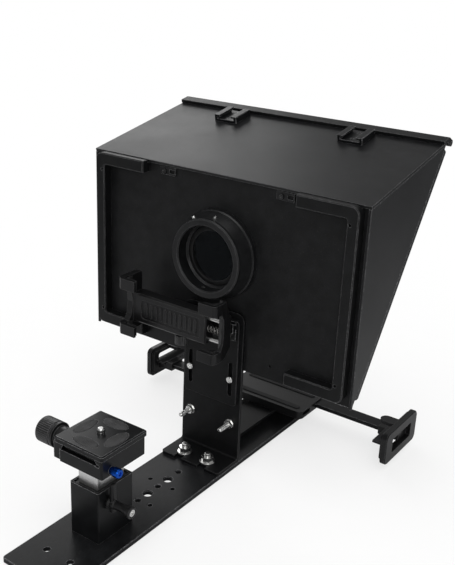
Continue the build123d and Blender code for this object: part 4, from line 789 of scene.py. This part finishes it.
# ------------------------------------------------------------------ world and lights
def add_world():
    """White to the camera, soft white light, and a grey gradient in reflections."""
    world = bpy.data.worlds.new("studio")
    bpy.context.scene.world = world
    world.use_nodes = True
    nodes = Nodes(world.node_tree)
    output = nodes.add("OutputWorld")
    ray = nodes.add("LightPath")
    seen = nodes.add("Background", {"Color": (1, 1, 1), "Strength": 1.0})
    light = nodes.add("Background", {"Color": (1, 1, 1), "Strength": 0.85})
    reflected = nodes.add("Background")
    direction = nodes.add("SeparateXYZ", {0: nodes.add("TexCoord").outputs["Generated"]})
    brightness = nodes.add("MapRange", {
        "From Min": -0.1, "From Max": 1.0, "To Min": 0.18, "To Max": 0.50,
        "Value": direction.outputs["Z"]})
    nodes.feed(reflected, {"Strength": brightness.outputs[0]})
    unseen = nodes.mix_shaders(ray.outputs["Is Glossy Ray"], light.outputs[0],
                               reflected.outputs[0])
    surface = nodes.mix_shaders(ray.outputs["Is Camera Ray"], unseen, seen.outputs[0])
    nodes.feed(output, {"Surface": surface})


def add_area_light(name, location, target, width, height, power):
    light = bpy.data.lights.new(name, "AREA")
    light.shape = "RECTANGLE"
    light.size = width
    light.size_y = height
    light.energy = power
    lamp = bpy.data.objects.new(name, light)
    bpy.context.scene.collection.objects.link(lamp)
    lamp.location = location
    aim = Vector(target) - Vector(location)
    lamp.rotation_euler = aim.to_track_quat("-Z", "Y").to_euler()


add_world()
add_area_light("key_left_front", location=(-1.75, 1.35, 1.25), target=(-0.05, 0.05, 0.25),
               width=1.3, height=1.1, power=9.5)
add_area_light("top_soft", location=(0.1, -0.3, 2.2), target=(0, 0, 0.1),
               width=1.6, height=1.6, power=13)
add_area_light("fill_camera", location=(1.3, -1.9, 1.1), target=(0, -0.05, 0.12),
               width=1.2, height=1.2, power=8)

# ------------------------------------------------------------------ view and camera
scene = bpy.context.scene
scene.view_settings.view_transform = "Standard"
scene.view_settings.look = "None"
scene.view_settings.exposure = 0.0
scene.view_settings.gamma = 1.0

CAMERA_PLACE = Vector((0.4075, -0.5726, 0.4407))
AZIMUTH = math.radians(34.606)      # from -Y toward +X
ELEVATION = math.radians(20.883)
ROLL = math.radians(2.487)


def add_camera():
    """Looks at the product from behind, to the right and above."""
    data = bpy.data.cameras.new("camera")
    data.sensor_fit = "AUTO"
    data.sensor_width = 36.0
    data.lens = 55.29026549
    data.clip_start = 0.01
    camera = bpy.data.objects.new("camera", data)
    scene.collection.objects.link(camera)
    back = Vector((math.sin(AZIMUTH) * math.cos(ELEVATION),
                   -math.cos(AZIMUTH) * math.cos(ELEVATION), math.sin(ELEVATION)))
    level = Vector((math.cos(AZIMUTH), math.sin(AZIMUTH), 0))
    upright = level.cross(-back)
    right = math.cos(ROLL) * level + math.sin(ROLL) * upright
    up = -math.sin(ROLL) * level + math.cos(ROLL) * upright
    turn = Matrix((right, up, back)).transposed().to_4x4()
    camera.matrix_world = Matrix.Translation(CAMERA_PLACE) @ turn
    scene.camera = camera


add_camera()

bpy.context.view_layer.update()
